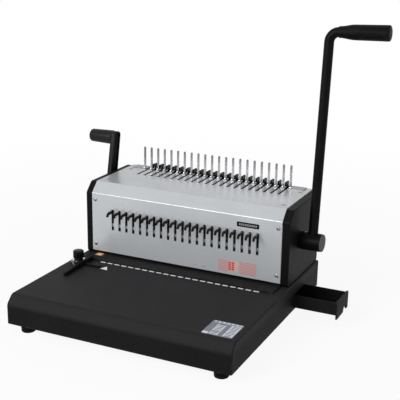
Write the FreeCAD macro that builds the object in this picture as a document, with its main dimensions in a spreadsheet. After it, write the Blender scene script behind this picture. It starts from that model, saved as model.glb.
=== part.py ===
import FreeCAD, Part
import math
import os
import Sketcher

# Desk machine that punches 21 rectangular holes along a sheet's edge and opens plastic binding combs.
# Millimetres. +X is the user's right, +Y points away from the user, +Z is up, and the feet stand on
# Z = 0. X is measured from the base's middle while the pieces are drawn; the whole machine is then
# moved sideways so that the origin lies under the middle of its outer box.

SIZES = {
    # holes along the sheet
    "hole_pitch": 14.2875,      # 9/16 inch between neighbouring holes
    "hole_count": 21,
    "hole_wide": 8.0,
    "hole_deep": 3.0,
    "sheet_margin": 2.5,        # paper left between a hole and the sheet's edge
    "punch_line": 80.0,         # Y of the row of punches
    # clearances
    "run_gap": 0.05,            # radial, shaft in bush
    "press_gap": 0.02,          # radial, pressed or clamped joint
    "seat_gap": 0.3,            # between pieces that move past each other
    "die_gap": 0.15,            # round a punch in its plates
    "bolt_gap": 0.1,
    # base
    "base_ledge": 3.5,          # base beyond a cheek's outer face
    "base_behind": 2.0,         # base behind the cheeks
    "base_deep": 405.0,
    "base_skin": 2.0,
    "base_edge": 3.0,
    "lip_chamfer": 14.4,
    "lip_bend": 12.0,
    "table_top": 66.3,
    "floor_skin": 2.0,
    "foot_tall": 17.0,
    "foot_wide": 25.5,
    "foot_taper": 0.9,
    "foot_inset_side": 26.0,
    "foot_inset_end": 23.0,
    # cheeks and cover
    "head_margin": 57.125,      # from the last hole's middle to a cheek's outer face
    "cheek_wide": 13.5,
    "cheek_rear": 200.5,
    "cheek_round": 7.0,
    "cheek_soft": 2.0,
    "cover_skin": 1.5,
    "cover_front": 41.3,
    "cover_inset": 4.5,         # from the cheeks' rear edge in to the cover's
    "cover_foot": 73.2,
    "cover_top": 202.2,
    "cover_chamfer": 18.5,
    "cover_bend": 2.5,
    "bar_wide": 18.0,
    "bar_thick": 6.0,
    "front_slot_wide": 5.0,
    "front_slot_low": 117.2,
    "front_slot_high": 156.9,
    "top_slot_wide": 4.6,
    "top_slot_front": 134.0,
    "top_slot_rear": 187.0,
    "screw_inset": 6.3,
    "top_screw_inset": 12.5,
    "screw_low": 86.5,
    "screw_high": 171.5,
    "screw_shank": 2.0,
    "screw_head": 3.8,
    "screw_dome": 2.2,
    "screw_crown": 1.8,
    "flat_head": 1.0,
    "screw_long": 5.0,
    "top_screw_front": 78.0,
    "top_screw_rear": 165.0,
    # die set
    "die_front": 8.0,
    "die_rear": 112.0,
    "die_thick": 3.0,
    "throat_high": 2.5,
    "guide_front": 49.2,
    "guide_rear": 96.0,
    "guide_thick": 10.0,
    "spacer_wide": 20.0,
    "stop_deep": 8.0,
    "row_over": 7.125,          # the stop and the selector strip, past the last hole's middle
    "bolt_inset": 10.2,
    "bolt_front": 58.0,
    "bolt_rear": 90.0,
    "bolt_shank": 2.5,
    "bolt_head": 4.5,
    "bolt_head_tall": 5.0,
    "chip_slot_deep": 12.0,
    "post_offset": 14.125,      # from the last hole's middle
    "post_radius": 5.0,
    "post_top": 175.0,
    # punch drive
    "main_y": 100.0,
    "main_z": 136.6,
    "main_radius": 8.0,
    "bush_wall": 3.0,
    "bush_flange": 3.0,
    "bush_flange_thick": 2.0,
    "bearing_deep": 10.0,
    "gear_module": 2.0,
    "main_teeth": 18,
    "comb_teeth": 22,
    "gear_wide": 10.0,
    "gear_play": 0.3,
    "comb_gear_offset": 12.125,
    "hub_stand": 0.8,
    "hub_long": 37.5,
    "hub_radius": 15.6,
    "hub_edge": 1.2,
    "hub_cap_thick": 2.4,
    "hub_cap_radius": 15.2,
    "set_screw_x": 8.0,
    "set_screw_radius": 3.0,
    "set_screw_stand": 1.6,
    "lever_x": 21.8,
    "lever_lean": 5.3,
    "lever_radius": 8.3,
    "lever_root": 9.0,
    "lever_high": 357.9,
    "lever_bend": 17.0,
    "tail_room": 4.8,           # left inside the grip beyond the bar's end
    "grip_rise": 1.9,           # degrees that the grip points above the level
    "grip_long": 84.8,
    "grip_neck": 9.6,
    "grip_belly": 12.7,
    "grip_end": 13.2,
    "grip_swell": 27.0,
    "grip_cap": 8.0,
    "grip_edge": 3.0,
    # punch unit
    "beam_over": 21.125,
    "beam_front": 70.5,
    "beam_rear": 89.5,
    "beam_low": 119.0,
    "beam_high": 157.0,
    "punch_tip": 1.7,
    "tab_thick": 3.0,
    "tab_reach": 20.3,
    "tab_top": 156.0,
    "tab_arm": 5.0,
    "tab_hook": 3.0,
    "tab_foot": 130.0,
    "strip_high": 6.0,
    "strip_deep": 4.0,
    "punch_rack_below": 1.5,    # rack teeth below and above the shaft's height at rest
    "punch_rack_above": 5.5,
    "rack_back": 9.5,
    "spring_radius": 6.4,
    "spring_wire": 0.75,
    "spring_turns": 4.0,
    # comb opener
    "comb_y": 140.0,
    "comb_z": 130.6,
    "comb_radius": 6.0,
    "crank_lean": 11.2,
    "crank_long": 132.0,
    "crank_stand": 1.0,
    "crank_hub": 16.0,
    "crank_hub_radius": 14.0,
    "crank_arm_gap": 4.0,
    "crank_arm_thick": 11.0,
    "crank_arm_wide": 21.0,
    "crank_arm_tip": 19.0,
    "crank_arm_edge": 2.5,
    "crank_grip_long": 58.5,
    "crank_grip_root": 13.8,
    "crank_grip_tip": 12.4,
    "crank_grip_edge": 4.5,
    "crank_bolt_radius": 7.0,
    "crank_bolt_tall": 4.5,
    "rail_wall": 3.0,
    "rail_reach": 14.5,
    "rail_front": 92.0,
    "rail_rear": 188.0,
    "slider_thick": 8.0,
    "slider_neck": 13.0,
    "comb_rack_front": 2.5,     # rack teeth in front of and behind the comb shaft at rest
    "comb_rack_rear": 7.5,
    "rack_web": 5.5,
    "carriage_deep": 16.0,
    "carriage_rear": 188.0,
    "hook_thick": 3.0,
    "hook_front": 171.0,
    "hook_rear": 185.5,
    "hook_stem": 5.5,
    "hook_top": 215.0,
    "hook_arm": 5.0,
    "hook_lip": 2.5,
    "hook_root": 8.0,
    "tine_wide": 4.0,
    "tine_thick": 1.6,
    "tine_y": 179.5,
    "tine_tall": 44.0,
    "tine_foot": 6.0,
    "tine_bend": 2.2,
    "tine_inset": 10.2,
    "tine_plate_front": 173.5,
    "tine_plate_rear": 195.0,
    "tine_plate_thick": 1.5,
    "tine_slot_wide": 6.0,
    # chip drawer
    "drawer_front": 69.0,
    "drawer_wide": 58.0,
    "drawer_low": 22.0,
    "drawer_tall": 23.0,
    "drawer_skin": 2.0,
    "drawer_long": 360.0,
    "drawer_out": 76.5,         # how far it stands out of the base at rest
    "face_thick": 3.0,
    "face_margin": 3.0,
    "face_low": 16.0,
    "face_top": 47.0,
    "face_corner": 3.0,
    "notch_radius": 9.5,
    "notch_y": 112.0,
    "rail_skin": 2.0,
    "drawer_rail_tall": 14.0,
    "drawer_rail_foot": 9.0,
    "drawer_rail_inset": 20.0,
    # edge guide
    "guide_inset": 36.5,        # from the base's left side to the long leg's middle
    "guide_bar_wide": 6.0,
    "guide_bar_tall": 9.4,
    "guide_bar_front": 84.0,
    "guide_arm_long": 34.0,
    "guide_arm_tall": 6.4,
    "bracket_wide": 26.0,
    "bracket_deep": 34.0,
    "bracket_thick": 6.4,
    "guide_set_back": 6.0,      # Y of the guide's rear edge
    "table_gap": 0.3,
    "stud_radius": 3.0,
    "stud_inset": 11.0,
    "stud_slot_left": 10.0,
    "stud_slot_right": 12.0,
    "knob_radius": 9.75,
    "knob_tall": 18.0,
    "knob_dome": 2.5,
    "nut_radius": 7.0,
    "nut_tall": 5.0,
}

FOLD_SHIFT = math.tan(math.radians(22.5))          # shift of a 45 degree fold's inner corner, per skin
PRESSURE_ANGLE = math.radians(20.0)
DEDENDUM = 1.25                                    # root depth of a gear tooth, in modules
FLANK_HEIGHTS = (1.0, 0.5, 0.0, -0.5, -DEDENDUM)   # outline points up a tooth, in modules from the pitch line
CUT_PAST = 1.0                                     # how far a cutting outline runs past the stock
SAME_PLACE = 0.001                                 # points closer than this lie in one plane
GRIP_STEPS = 5                                     # outline steps along the grip's swelling neck
EDGE_STEPS = 3                                     # outline steps round the edge of a grip's end

doc = FreeCAD.newDocument("comb_punch_machine")
pieces = []


class Size:
    """A size worked out from the sheet: its value, and the formula that follows the sheet."""

    def __init__(self, value, formula):
        self.value = value
        self.formula = formula

    def _join(self, other, sign, value):
        return Size(value, f"({self.formula} {sign} {as_size(other).formula})")

    def __add__(self, other):
        return self._join(other, "+", self.value + as_size(other).value)

    def __sub__(self, other):
        return self._join(other, "-", self.value - as_size(other).value)

    def __mul__(self, other):
        return self._join(other, "*", self.value * as_size(other).value)

    def __truediv__(self, other):
        return self._join(other, "/", self.value / as_size(other).value)

    def __radd__(self, other):
        return as_size(other) + self

    def __rsub__(self, other):
        return as_size(other) - self

    def __rmul__(self, other):
        return as_size(other) * self

    def __neg__(self):
        return 0 - self


def as_size(number):
    """A Size as it is, or a plain number as a Size."""
    if isinstance(number, Size):
        return number
    return Size(float(number), f"({float(number):.9g})")


def sine(angle):
    """Sine of a Size in degrees."""
    return Size(math.sin(math.radians(angle.value)), f"sin({angle.formula})")


def cosine(angle):
    """Cosine of a Size in degrees."""
    return Size(math.cos(math.radians(angle.value)), f"cos({angle.formula})")


class Sheet:
    """The driving dimensions as a spreadsheet, read back as attributes."""

    def __init__(self, sizes):
        cells = doc.addObject("Spreadsheet::Sheet", "Sizes")
        for row, (name, number) in enumerate(sizes.items(), start=1):
            cells.set(f"A{row}", name)
            cells.set(f"B{row}", str(number))
            cells.setAlias(f"B{row}", name)
            setattr(self, name, Size(float(number), f"Sizes.{name}"))


S = Sheet(SIZES)
doc.recompute()


# ---- sizes that several pieces share -------------------------------------------------------------

row_long = (S.hole_count - 1) * S.hole_pitch
half_row = row_long / 2
first_hole = -half_row
half_head = half_row + S.head_margin
half_base = half_head + S.base_ledge
base_rear = S.cheek_rear + S.base_behind
base_front = base_rear - S.base_deep
half_inside = half_head - S.cheek_wide              # inner face of a cheek
half_cover = half_inside - S.seat_gap               # end of the sheets and plates between the cheeks
bolt_x = half_cover - S.bolt_inset
post_x = half_row + S.post_offset
half_beam = half_row + S.beam_over
main_gear_x = half_beam + S.gear_wide / 2           # the racks sit on the beam's ends
comb_gear_x = half_row + S.comb_gear_offset
cover_in_front = S.cover_front + S.cover_skin
cover_in_top = S.cover_top - S.cover_skin
cover_rear = S.cheek_rear - S.cover_inset
cover_in_rear = cover_rear - S.cover_skin
cover_fold = S.cover_skin * FOLD_SHIFT
die_top = S.table_top + S.die_thick
guide_low = die_top + S.throat_high
guide_top = guide_low + S.guide_thick
nut_low = S.table_top - S.base_skin - S.bolt_head_tall
main_pitch = S.gear_module * S.main_teeth / 2       # pitch radius of the pinion on the main shaft
comb_pitch = S.gear_module * S.comb_teeth / 2
tooth_pitch = S.gear_module * math.pi
hub_in = half_head + S.hub_stand
hub_out = hub_in + S.hub_long
lever_x = half_head + S.lever_x
bend_end_x = lever_x + S.lever_bend * (1 - sine(S.grip_rise))
bend_end_z = S.lever_high - S.lever_bend * (1 - cosine(S.grip_rise))
rim_along = (S.grip_long - S.grip_edge) * cosine(S.grip_rise)
rim_across = (S.grip_end - S.grip_edge) * sine(S.grip_rise)
grip_out = bend_end_x + rim_along + rim_across + S.grip_edge     # the grip's outermost point
crank_in = half_head + S.crank_arm_gap
crank_out = crank_in + S.crank_grip_long
slider_low = S.comb_z + comb_pitch + S.gear_module * DEDENDUM + S.rack_web
slider_top = slider_low + S.slider_thick
hook_base = slider_top
drawer_in = half_base + S.drawer_out - S.drawer_long
drawer_out = half_base + S.drawer_out
drawer_rear = S.drawer_front + S.drawer_wide
guide_foot = S.table_top + S.table_gap
guide_left = S.guide_inset - half_base - S.guide_bar_wide / 2    # left face of the guide's long leg
guide_right = guide_left + S.guide_bar_wide
bracket_left = guide_left - S.bracket_wide
stud_x = guide_left - S.stud_inset
stud_y = S.guide_set_back - S.bracket_deep / 2 - S.guide_bar_wide
knob_low = guide_foot + S.bracket_thick + S.table_gap
middle = (crank_out - grip_out) / 2                 # moves the outer box's middle onto the origin


# ---- drawing helpers -----------------------------------------------------------------------------

def bind(thing, setting, size):
    """Tie one property to the sheet."""
    thing.setExpression(setting, as_size(size).formula)


def place(thing, x, y, z):
    """Tie a thing's position to the sheet."""
    for axis, size in zip("xyz", (x, y, z)):
        bind(thing, f"Placement.Base.{axis}", size)


def piece(thing, label, at=(0, 0, 0)):
    """Name a finished sub-part and put it in the machine's frame; at is where its own origin lies."""
    thing.Label = label
    place(thing, middle + at[0], at[1], at[2])
    pieces.append(thing)
    return thing


def tilted(thing, label, lean, y, z):
    """A sub-part drawn upright about a shaft, set back by the lean angle on that shaft."""
    turn = FreeCAD.Rotation(FreeCAD.Vector(-1, 0, 0), lean.value)
    thing.Placement = FreeCAD.Placement(FreeCAD.Vector(), turn)
    bind(thing, "Placement.Rotation.Angle", lean)
    return piece(thing, label, (0, y, z))


def box(low, high):
    """A block between two corners."""
    block = doc.addObject("Part::Box", "block")
    for setting, a, b in zip(("Length", "Width", "Height"), low, high):
        bind(block, setting, as_size(b) - a)
    place(block, *low)
    return block


def box_piece(label, low, high):
    """A block that is a sub-part by itself."""
    return piece(box(low, high), label, low)


def rod(axis, start, length, radius):
    """A round bar from its start point along +X, +Y or +Z."""
    turns = {"X": ((0, 1, 0), 90), "Y": ((1, 0, 0), -90), "Z": ((0, 0, 1), 0)}
    about, degrees = turns[axis]
    bar = doc.addObject("Part::Cylinder", "bar")
    bar.Placement = FreeCAD.Placement(FreeCAD.Vector(), FreeCAD.Rotation(FreeCAD.Vector(*about), degrees))
    bind(bar, "Height", length)
    bind(bar, "Radius", radius)
    place(bar, *start)
    return bar


def cut(stock, tools):
    """The stock less its tools."""
    result = doc.addObject("Part::Cut", "cut")
    result.Base = stock
    result.Tool = tools[0] if len(tools) == 1 else group(tools)
    return result


def fuse(shapes):
    """Several shapes made one."""
    result = doc.addObject("Part::MultiFuse", "fusion")
    result.Shapes = shapes
    return result


def group(shapes):
    """Several separate solids kept in one sub-part."""
    result = doc.addObject("Part::Compound", "group")
    result.Links = shapes
    return result


def span(side, near, far):
    """The low and high X of something that lies between two distances from the middle, on one side."""
    return (near, far) if side > 0 else (-as_size(far), -as_size(near))


def body():
    """An empty body for sketched features."""
    return doc.addObject("PartDesign::Body", "body")


def sketch_on(owner, plane, across=0, origin=(0, 0), turn=None):
    """An empty sketch on a plane of the body, moved across it (towards +X, +Y or +Z) and turned on it."""
    sketch = owner.newObject("Sketcher::SketchObject", "sketch")
    support = next(item for item in owner.Origin.OriginFeatures if item.Role == plane)
    sketch.AttachmentSupport = [(support, "")]
    sketch.MapMode = "FlatFace"
    height = -as_size(across) if plane == "XZ_Plane" else across
    if turn:
        spin = FreeCAD.Rotation(FreeCAD.Vector(0, 0, 1), turn.value)
        sketch.AttachmentOffset = FreeCAD.Placement(FreeCAD.Vector(), spin)
        bind(sketch, "AttachmentOffset.Rotation.Angle", turn)
    for axis, size in zip("xyz", (origin[0], origin[1], height)):
        bind(sketch, f"AttachmentOffset.Base.{axis}", size)
    return sketch


def tie(sketch, kind, *places_and_size):
    """A dimension in a sketch that follows the sheet."""
    *places, size = places_and_size
    index = sketch.addConstraint(Sketcher.Constraint(kind, *places, as_size(size).value))
    sketch.setExpression(f"Constraints[{index}]", as_size(size).formula)


def outline(owner, plane, points, across=0, origin=(0, 0), turn=None):
    """A closed outline of straight lines through points that each follow the sheet."""
    sketch = sketch_on(owner, plane, across, origin, turn)
    spots = [FreeCAD.Vector(as_size(u).value, as_size(v).value, 0) for u, v in points]
    count = len(points)
    for index in range(count):
        sketch.addGeometry(Part.LineSegment(spots[index], spots[(index + 1) % count]), False)
    for index in range(count):
        sketch.addConstraint(Sketcher.Constraint("Coincident", index, 2, (index + 1) % count, 1))
    for index, (u, v) in enumerate(points):
        tie(sketch, "DistanceX", -1, 1, index, 1, u)
        tie(sketch, "DistanceY", -1, 1, index, 1, v)
    return sketch


def rectangle(owner, plane, low, high, across=0):
    """A rectangle between two corners."""
    corners = [(low[0], low[1]), (high[0], low[1]), (high[0], high[1]), (low[0], high[1])]
    return outline(owner, plane, corners, across)


def circles(owner, plane, centres, radius, across=0):
    """Equal circles in one sketch."""
    sketch = sketch_on(owner, plane, across)
    for index, (u, v) in enumerate(centres):
        spot = FreeCAD.Vector(as_size(u).value, as_size(v).value, 0)
        sketch.addGeometry(Part.Circle(spot, FreeCAD.Vector(0, 0, 1), as_size(radius).value), False)
        tie(sketch, "Radius", index, radius)
        tie(sketch, "DistanceX", -1, 1, index, 3, u)
        tie(sketch, "DistanceY", -1, 1, index, 3, v)
    return sketch


def swell(owner, kind, sketch, length):
    """A pad or pocket that reaches half its length to each side of its sketch."""
    feature = owner.newObject(f"PartDesign::{kind}", kind.lower())
    feature.Profile = sketch
    feature.Midplane = True
    bind(feature, "Length", length)
    owner.Tip = feature
    return feature


def pad(owner, sketch, length):
    """Material grown to both sides of a sketch."""
    return swell(owner, "Pad", sketch, length)


def pocket(owner, sketch, length):
    """Material taken away to both sides of a sketch."""
    return swell(owner, "Pocket", sketch, length)


def through(owner, sketch, thick):
    """A pocket right through a sheet or plate, from a sketch on its face or in its middle."""
    return pocket(owner, sketch, 2 * thick + 2 * CUT_PAST)


def row(owner, feature, sketch, axis, count, extent):
    """A feature repeated along one axis of its sketch."""
    pattern = owner.newObject("PartDesign::LinearPattern", "row")
    pattern.Originals = [feature]
    pattern.Direction = (sketch, [axis])
    bind(pattern, "Length", extent)
    bind(pattern, "Occurrences", count)
    owner.Tip = pattern
    return pattern


def revolve(owner, sketch, axis):
    """A sketch turned right round one of its own axes."""
    feature = owner.newObject("PartDesign::Revolution", "turned")
    feature.Profile = sketch
    feature.ReferenceAxis = (sketch, [axis])
    feature.Angle = 360
    owner.Tip = feature
    return feature


def round_edge(end, radius, edge, facing):
    """Outline points round the edge of a turned end; facing is +1 or -1, the way the end looks."""
    points = []
    for step in range(EDGE_STEPS + 1):
        angle = math.pi / 2 * step / EDGE_STEPS
        inwards = edge * (1 - math.sin(angle))
        points.append((end - facing * inwards, radius - edge * (1 - math.cos(angle))))
    return points


def edges_at(feature, **planes):
    """Names of a feature's edges that lie in every plane given, such as z=59.3."""
    doc.recompute()
    names = []
    for index, edge in enumerate(feature.Shape.Edges, start=1):
        offs = []
        for axis, size in planes.items():
            offs += [abs(getattr(vertex.Point, axis) - as_size(size).value) for vertex in edge.Vertexes]
        if offs and max(offs) < SAME_PLACE:
            names.append(f"Edge{index}")
    return names


def soften(owner, kind, feature, names, size):
    """A fillet or chamfer along named edges."""
    result = owner.newObject(f"PartDesign::{kind}", kind.lower())
    result.Base = (feature, names)
    bind(result, "Radius" if kind == "Fillet" else "Size", size)
    owner.Tip = result
    return result


# ---- base ----------------------------------------------------------------------------------------

def make_base_shell():
    """Steel table with a front lip folded in two soft bends, open below and hollow."""
    shell = body()
    low, top = S.foot_tall, S.table_top
    front, rear, lip, skin = base_front, base_rear, S.lip_chamfer, S.base_skin
    profile = [(front, low), (front, top - lip), (front + lip, top), (rear, top), (rear, low)]
    block = pad(shell, outline(shell, "YZ_Plane", profile), 2 * half_base)
    bends = edges_at(block, y=front, z=top - lip) + edges_at(block, y=front + lip, z=top)
    bent = soften(shell, "Fillet", block, bends, S.lip_bend)
    rims = edges_at(bent, y=rear, z=top)
    for side in (-1, 1):
        foot_line = edges_at(bent, x=side * half_base, z=low)
        rims += [edge for edge in edges_at(bent, x=side * half_base) if edge not in foot_line]
    soften(shell, "Fillet", bent, rims, S.base_edge)
    fold = skin * FOLD_SHIFT
    hollow = [
        (front + skin, low - CUT_PAST),
        (front + skin, top - lip - fold),
        (front + lip + fold, top - skin),
        (rear - skin, top - skin),
        (rear - skin, low - CUT_PAST),
    ]
    room = pocket(shell, outline(shell, "YZ_Plane", hollow), 2 * (half_base - skin))
    bends = edges_at(room, y=front + skin, z=top - lip - fold)
    bends += edges_at(room, y=front + lip + fold, z=top - skin)
    soften(shell, "Fillet", room, bends, S.lip_bend - skin)
    make_base_openings(shell)
    piece(shell, "base_shell")


def make_base_openings(shell):
    """Chip slot under the dies, drawer mouth in the right wall, guide slot and bolt holes."""
    deep = S.chip_slot_deep / 2
    chips = half_row + S.hole_wide
    low, high = (-chips, S.punch_line - deep), (chips, S.punch_line + deep)
    through(shell, rectangle(shell, "XY_Plane", low, high, S.table_top), S.base_skin)
    gap = S.seat_gap
    mouth_low = (S.drawer_front - gap, S.drawer_low - gap)
    mouth_high = (drawer_rear + gap, S.drawer_low + S.drawer_tall + gap)
    through(shell, rectangle(shell, "YZ_Plane", mouth_low, mouth_high, half_base), S.base_skin)
    reach = S.stud_radius + gap
    left = (stud_x - S.stud_slot_left, stud_y - reach)
    right = (stud_x + S.stud_slot_right, stud_y + reach)
    through(shell, rectangle(shell, "XY_Plane", left, right, S.table_top), S.base_skin)
    holes = circles(shell, "XY_Plane", bolt_spots(), S.bolt_shank + S.bolt_gap, S.table_top)
    through(shell, holes, S.base_skin)


def make_base_floor():
    """Flat steel plate that closes the base from below."""
    inset = S.base_skin + S.seat_gap
    side = half_base - inset
    low = (-side, base_front + inset, S.foot_tall)
    box_piece("base_floor", low, (side, base_rear - inset, S.foot_tall + S.floor_skin))


def make_feet():
    """Four tapered rubber feet."""
    x = half_base - S.foot_inset_side
    for y, end_name in ((base_front + S.foot_inset_end, "front"), (base_rear - S.foot_inset_end, "rear")):
        for side, side_name in ((-1, "left"), (1, "right")):
            foot = doc.addObject("Part::Cone", "foot")
            bind(foot, "Radius1", S.foot_wide / 2 - S.foot_taper)
            bind(foot, "Radius2", S.foot_wide / 2)
            bind(foot, "Height", S.foot_tall)
            piece(foot, f"foot_{end_name}_{side_name}", (side * x, y, 0))


# ---- cheeks and covers ---------------------------------------------------------------------------

def make_cheek(side, name):
    """Moulded side cheek with rounded corners and a bearing bore for each shaft."""
    cheek = body()
    front, rear = cover_in_front, S.cheek_rear
    foot, top = S.table_top, cover_in_top
    fold_low = (front, S.cover_top - S.cover_chamfer - cover_fold)
    fold_high = (S.cover_front + S.cover_chamfer + cover_fold, top)
    profile = [(front, foot), fold_low, fold_high, (rear, top), (rear, foot)]
    middle_x = side * (half_head - S.cheek_wide / 2)
    plate = pad(cheek, outline(cheek, "YZ_Plane", profile, middle_x), S.cheek_wide)
    corners = []
    for y, z in profile:
        corners += edges_at(plate, y=y, z=z)
    rounded = soften(cheek, "Fillet", plate, corners, S.cheek_round)
    soft = edges_at(rounded, x=side * half_head)
    soften(cheek, "Fillet", rounded, soft, S.cheek_soft)
    bearing_bore(cheek, side, S.main_y, S.main_z, S.main_radius, open_side=1)
    bearing_bore(cheek, side, S.comb_y, S.comb_z, S.comb_radius, open_side=-1)
    piece(cheek, f"cheek_{name}")


def bearing_bore(cheek, side, y, z, shaft_radius, open_side):
    """Bore for one bush from the cheek's inner face: right through where the shaft leaves, else blind."""
    bore = shaft_radius + S.run_gap + S.bush_wall + S.press_gap
    deep = S.cheek_wide + CUT_PAST if side == open_side else S.bearing_deep
    pocket(cheek, circles(cheek, "YZ_Plane", [(y, z)], bore, side * half_inside), 2 * deep)


def front_screw_spots():
    """Where the four screws stand on the cover's front, in X and Z."""
    x = half_cover - S.screw_inset
    return [(side * x, z) for side in (-1, 1) for z in (S.screw_low, S.screw_high)]


def top_screw_spots():
    """Where the four screws stand on the cover's top, in X and Y."""
    x = half_cover - S.top_screw_inset
    return [(side * x, y) for side in (-1, 1) for y in (S.top_screw_front, S.top_screw_rear)]


def make_cover_bars():
    """Six square bars inside the cheeks that the cover and the rear panel are screwed to."""
    hole = S.screw_shank + S.press_gap
    thick = S.bar_thick
    deep = S.screw_long + CUT_PAST
    fronts, tops, rears = [], [], []
    for side in (-1, 1):
        near, far = span(side, half_inside - S.bar_wide, half_inside)
        front_top = S.screw_high + thick
        fronts.append(box((near, cover_in_front, S.cover_foot), (far, cover_in_front + thick, front_top)))
        top_front = S.top_screw_front - S.bar_wide / 2
        tops.append(box((near, top_front, cover_in_top - thick), (far, S.rail_rear, cover_in_top)))
        rear_top = cover_in_top - thick
        rears.append(box((near, cover_in_rear - thick, S.cover_foot), (far, cover_in_rear, rear_top)))
    front_holes = [rod("Y", (x, cover_in_front - CUT_PAST, z), deep, hole) for x, z in front_screw_spots()]
    top_holes = [rod("Z", (x, y, cover_in_top - S.screw_long), deep, hole) for x, y in top_screw_spots()]
    piece(group([cut(group(fronts), front_holes), cut(group(tops), top_holes)] + rears), "cover_bars")


def make_front_cover():
    """Folded cover: upright front with punch slots, 45 degree band, and top with comb slots."""
    cover = body()
    front, top, chamfer = S.cover_front, S.cover_top, S.cover_chamfer
    sheet = [
        (front, S.cover_foot),
        (front, top - chamfer),
        (front + chamfer, top),
        (cover_rear, top),
        (cover_rear, cover_in_top),
        (front + chamfer + cover_fold, cover_in_top),
        (cover_in_front, top - chamfer - cover_fold),
        (cover_in_front, S.cover_foot),
    ]
    fold = pad(cover, outline(cover, "YZ_Plane", sheet), 2 * half_cover)
    creases = edges_at(fold, y=front, z=top - chamfer) + edges_at(fold, y=front + chamfer, z=top)
    soften(cover, "Fillet", fold, creases, S.cover_bend)
    left, right = first_hole - S.front_slot_wide / 2, first_hole + S.front_slot_wide / 2
    slot = rectangle(cover, "XZ_Plane", (left, S.front_slot_low), (right, S.front_slot_high), front)
    row(cover, through(cover, slot, S.cover_skin), slot, "H_Axis", S.hole_count, row_long)
    left, right = first_hole - S.top_slot_wide / 2, first_hole + S.top_slot_wide / 2
    slot = rectangle(cover, "XY_Plane", (left, S.top_slot_front), (right, S.top_slot_rear), top)
    row(cover, through(cover, slot, S.cover_skin), slot, "H_Axis", S.hole_count, row_long)
    hole = S.screw_shank + S.press_gap
    through(cover, circles(cover, "XZ_Plane", front_screw_spots(), hole, front), S.cover_skin)
    through(cover, circles(cover, "XY_Plane", top_screw_spots(), hole, top), S.cover_skin)
    piece(cover, "front_cover")


def make_rear_panel():
    """Flat sheet that closes the head at the back."""
    low = S.table_top + S.seat_gap
    box_piece("rear_panel", (-half_cover, cover_in_rear, low), (half_cover, cover_rear, cover_in_top))


def make_cover_screws():
    """Domed screws in the front and flat ones in the top."""
    domed = []
    for x, z in front_screw_spots():
        screw = body()
        profile = [
            (0, -S.screw_dome),
            (S.screw_crown, -S.screw_dome),
            (S.screw_head, 0),
            (S.screw_shank, 0),
            (S.screw_shank, S.screw_long),
            (0, S.screw_long),
        ]
        revolve(screw, outline(screw, "XY_Plane", profile), "V_Axis")
        place(screw, x, S.cover_front, z)
        domed.append(screw)
    piece(group(domed), "cover_front_screws")
    flat = []
    for x, y in top_screw_spots():
        head = rod("Z", (x, y, S.cover_top), S.flat_head, S.screw_head)
        shank = rod("Z", (x, y, S.cover_top - S.screw_long), S.screw_long, S.screw_shank)
        flat.append(fuse([head, shank]))
    piece(group(flat), "cover_top_screws")


# ---- die set -------------------------------------------------------------------------------------

def bolt_spots():
    """Where the four die bolts stand on the table."""
    return [(side * bolt_x, y) for side in (-1, 1) for y in (S.bolt_front, S.bolt_rear)]


def punch_section(owner, gap, across):
    """The first punch's rectangle, grown by a gap all round."""
    wide, deep = S.hole_wide / 2 + gap, S.hole_deep / 2 + gap
    low = (first_hole - wide, S.punch_line - deep)
    high = (first_hole + wide, S.punch_line + deep)
    return rectangle(owner, "XY_Plane", low, high, across)


def make_die_plate(label, front, rear, low, high):
    """A plate across the machine with the row of punch holes and four bolt holes."""
    plate = body()
    thick = high - low
    mid = (low + high) / 2
    pad(plate, rectangle(plate, "XY_Plane", (-half_cover, front), (half_cover, rear), mid), thick)
    hole = punch_section(plate, S.die_gap, mid)
    row(plate, through(plate, hole, thick), hole, "H_Axis", S.hole_count, row_long)
    through(plate, circles(plate, "XY_Plane", bolt_spots(), S.bolt_shank + S.bolt_gap, mid), thick)
    piece(plate, label)


def make_throat():
    """Spacers that hold the paper throat open, and the stop behind the punches."""
    for side, name in ((-1, "left"), (1, "right")):
        low_x, high_x = span(side, half_cover - S.spacer_wide, half_cover)
        block = box((low_x, S.guide_front, die_top), (high_x, S.guide_rear, guide_low))
        holes = []
        for y in (S.bolt_front, S.bolt_rear):
            start = (side * bolt_x, y, S.table_top)
            holes.append(rod("Z", start, S.guide_thick, S.bolt_shank + S.bolt_gap))
        piece(cut(block, holes), f"throat_spacer_{name}")
    front = S.punch_line + S.hole_deep / 2 + S.sheet_margin
    end = half_row + S.row_over
    box_piece("paper_stop", (-end, front, die_top), (end, front + S.stop_deep, guide_low))


def make_die_bolts():
    """Four bolts with their nuts that clamp the die set to the table."""
    bolts = []
    for x, y in bolt_spots():
        head = rod("Z", (x, y, guide_top), S.bolt_head_tall, S.bolt_head)
        shank = rod("Z", (x, y, nut_low), guide_top - nut_low, S.bolt_shank)
        nut = doc.addObject("Part::Prism", "nut")
        nut.Polygon = 6
        bind(nut, "Circumradius", S.bolt_head)
        bind(nut, "Height", S.bolt_head_tall)
        place(nut, x, y, nut_low)
        bolts.append(fuse([head, shank, nut]))
    piece(group(bolts), "die_bolts")


def make_guide_posts():
    """Two upright posts that the punch beam slides on."""
    for side, name in ((-1, "left"), (1, "right")):
        start = (side * post_x, S.punch_line, guide_top)
        piece(rod("Z", start, S.post_top - guide_top, S.post_radius), f"guide_post_{name}", start)


# ---- bearings, shafts and gears ------------------------------------------------------------------

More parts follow.
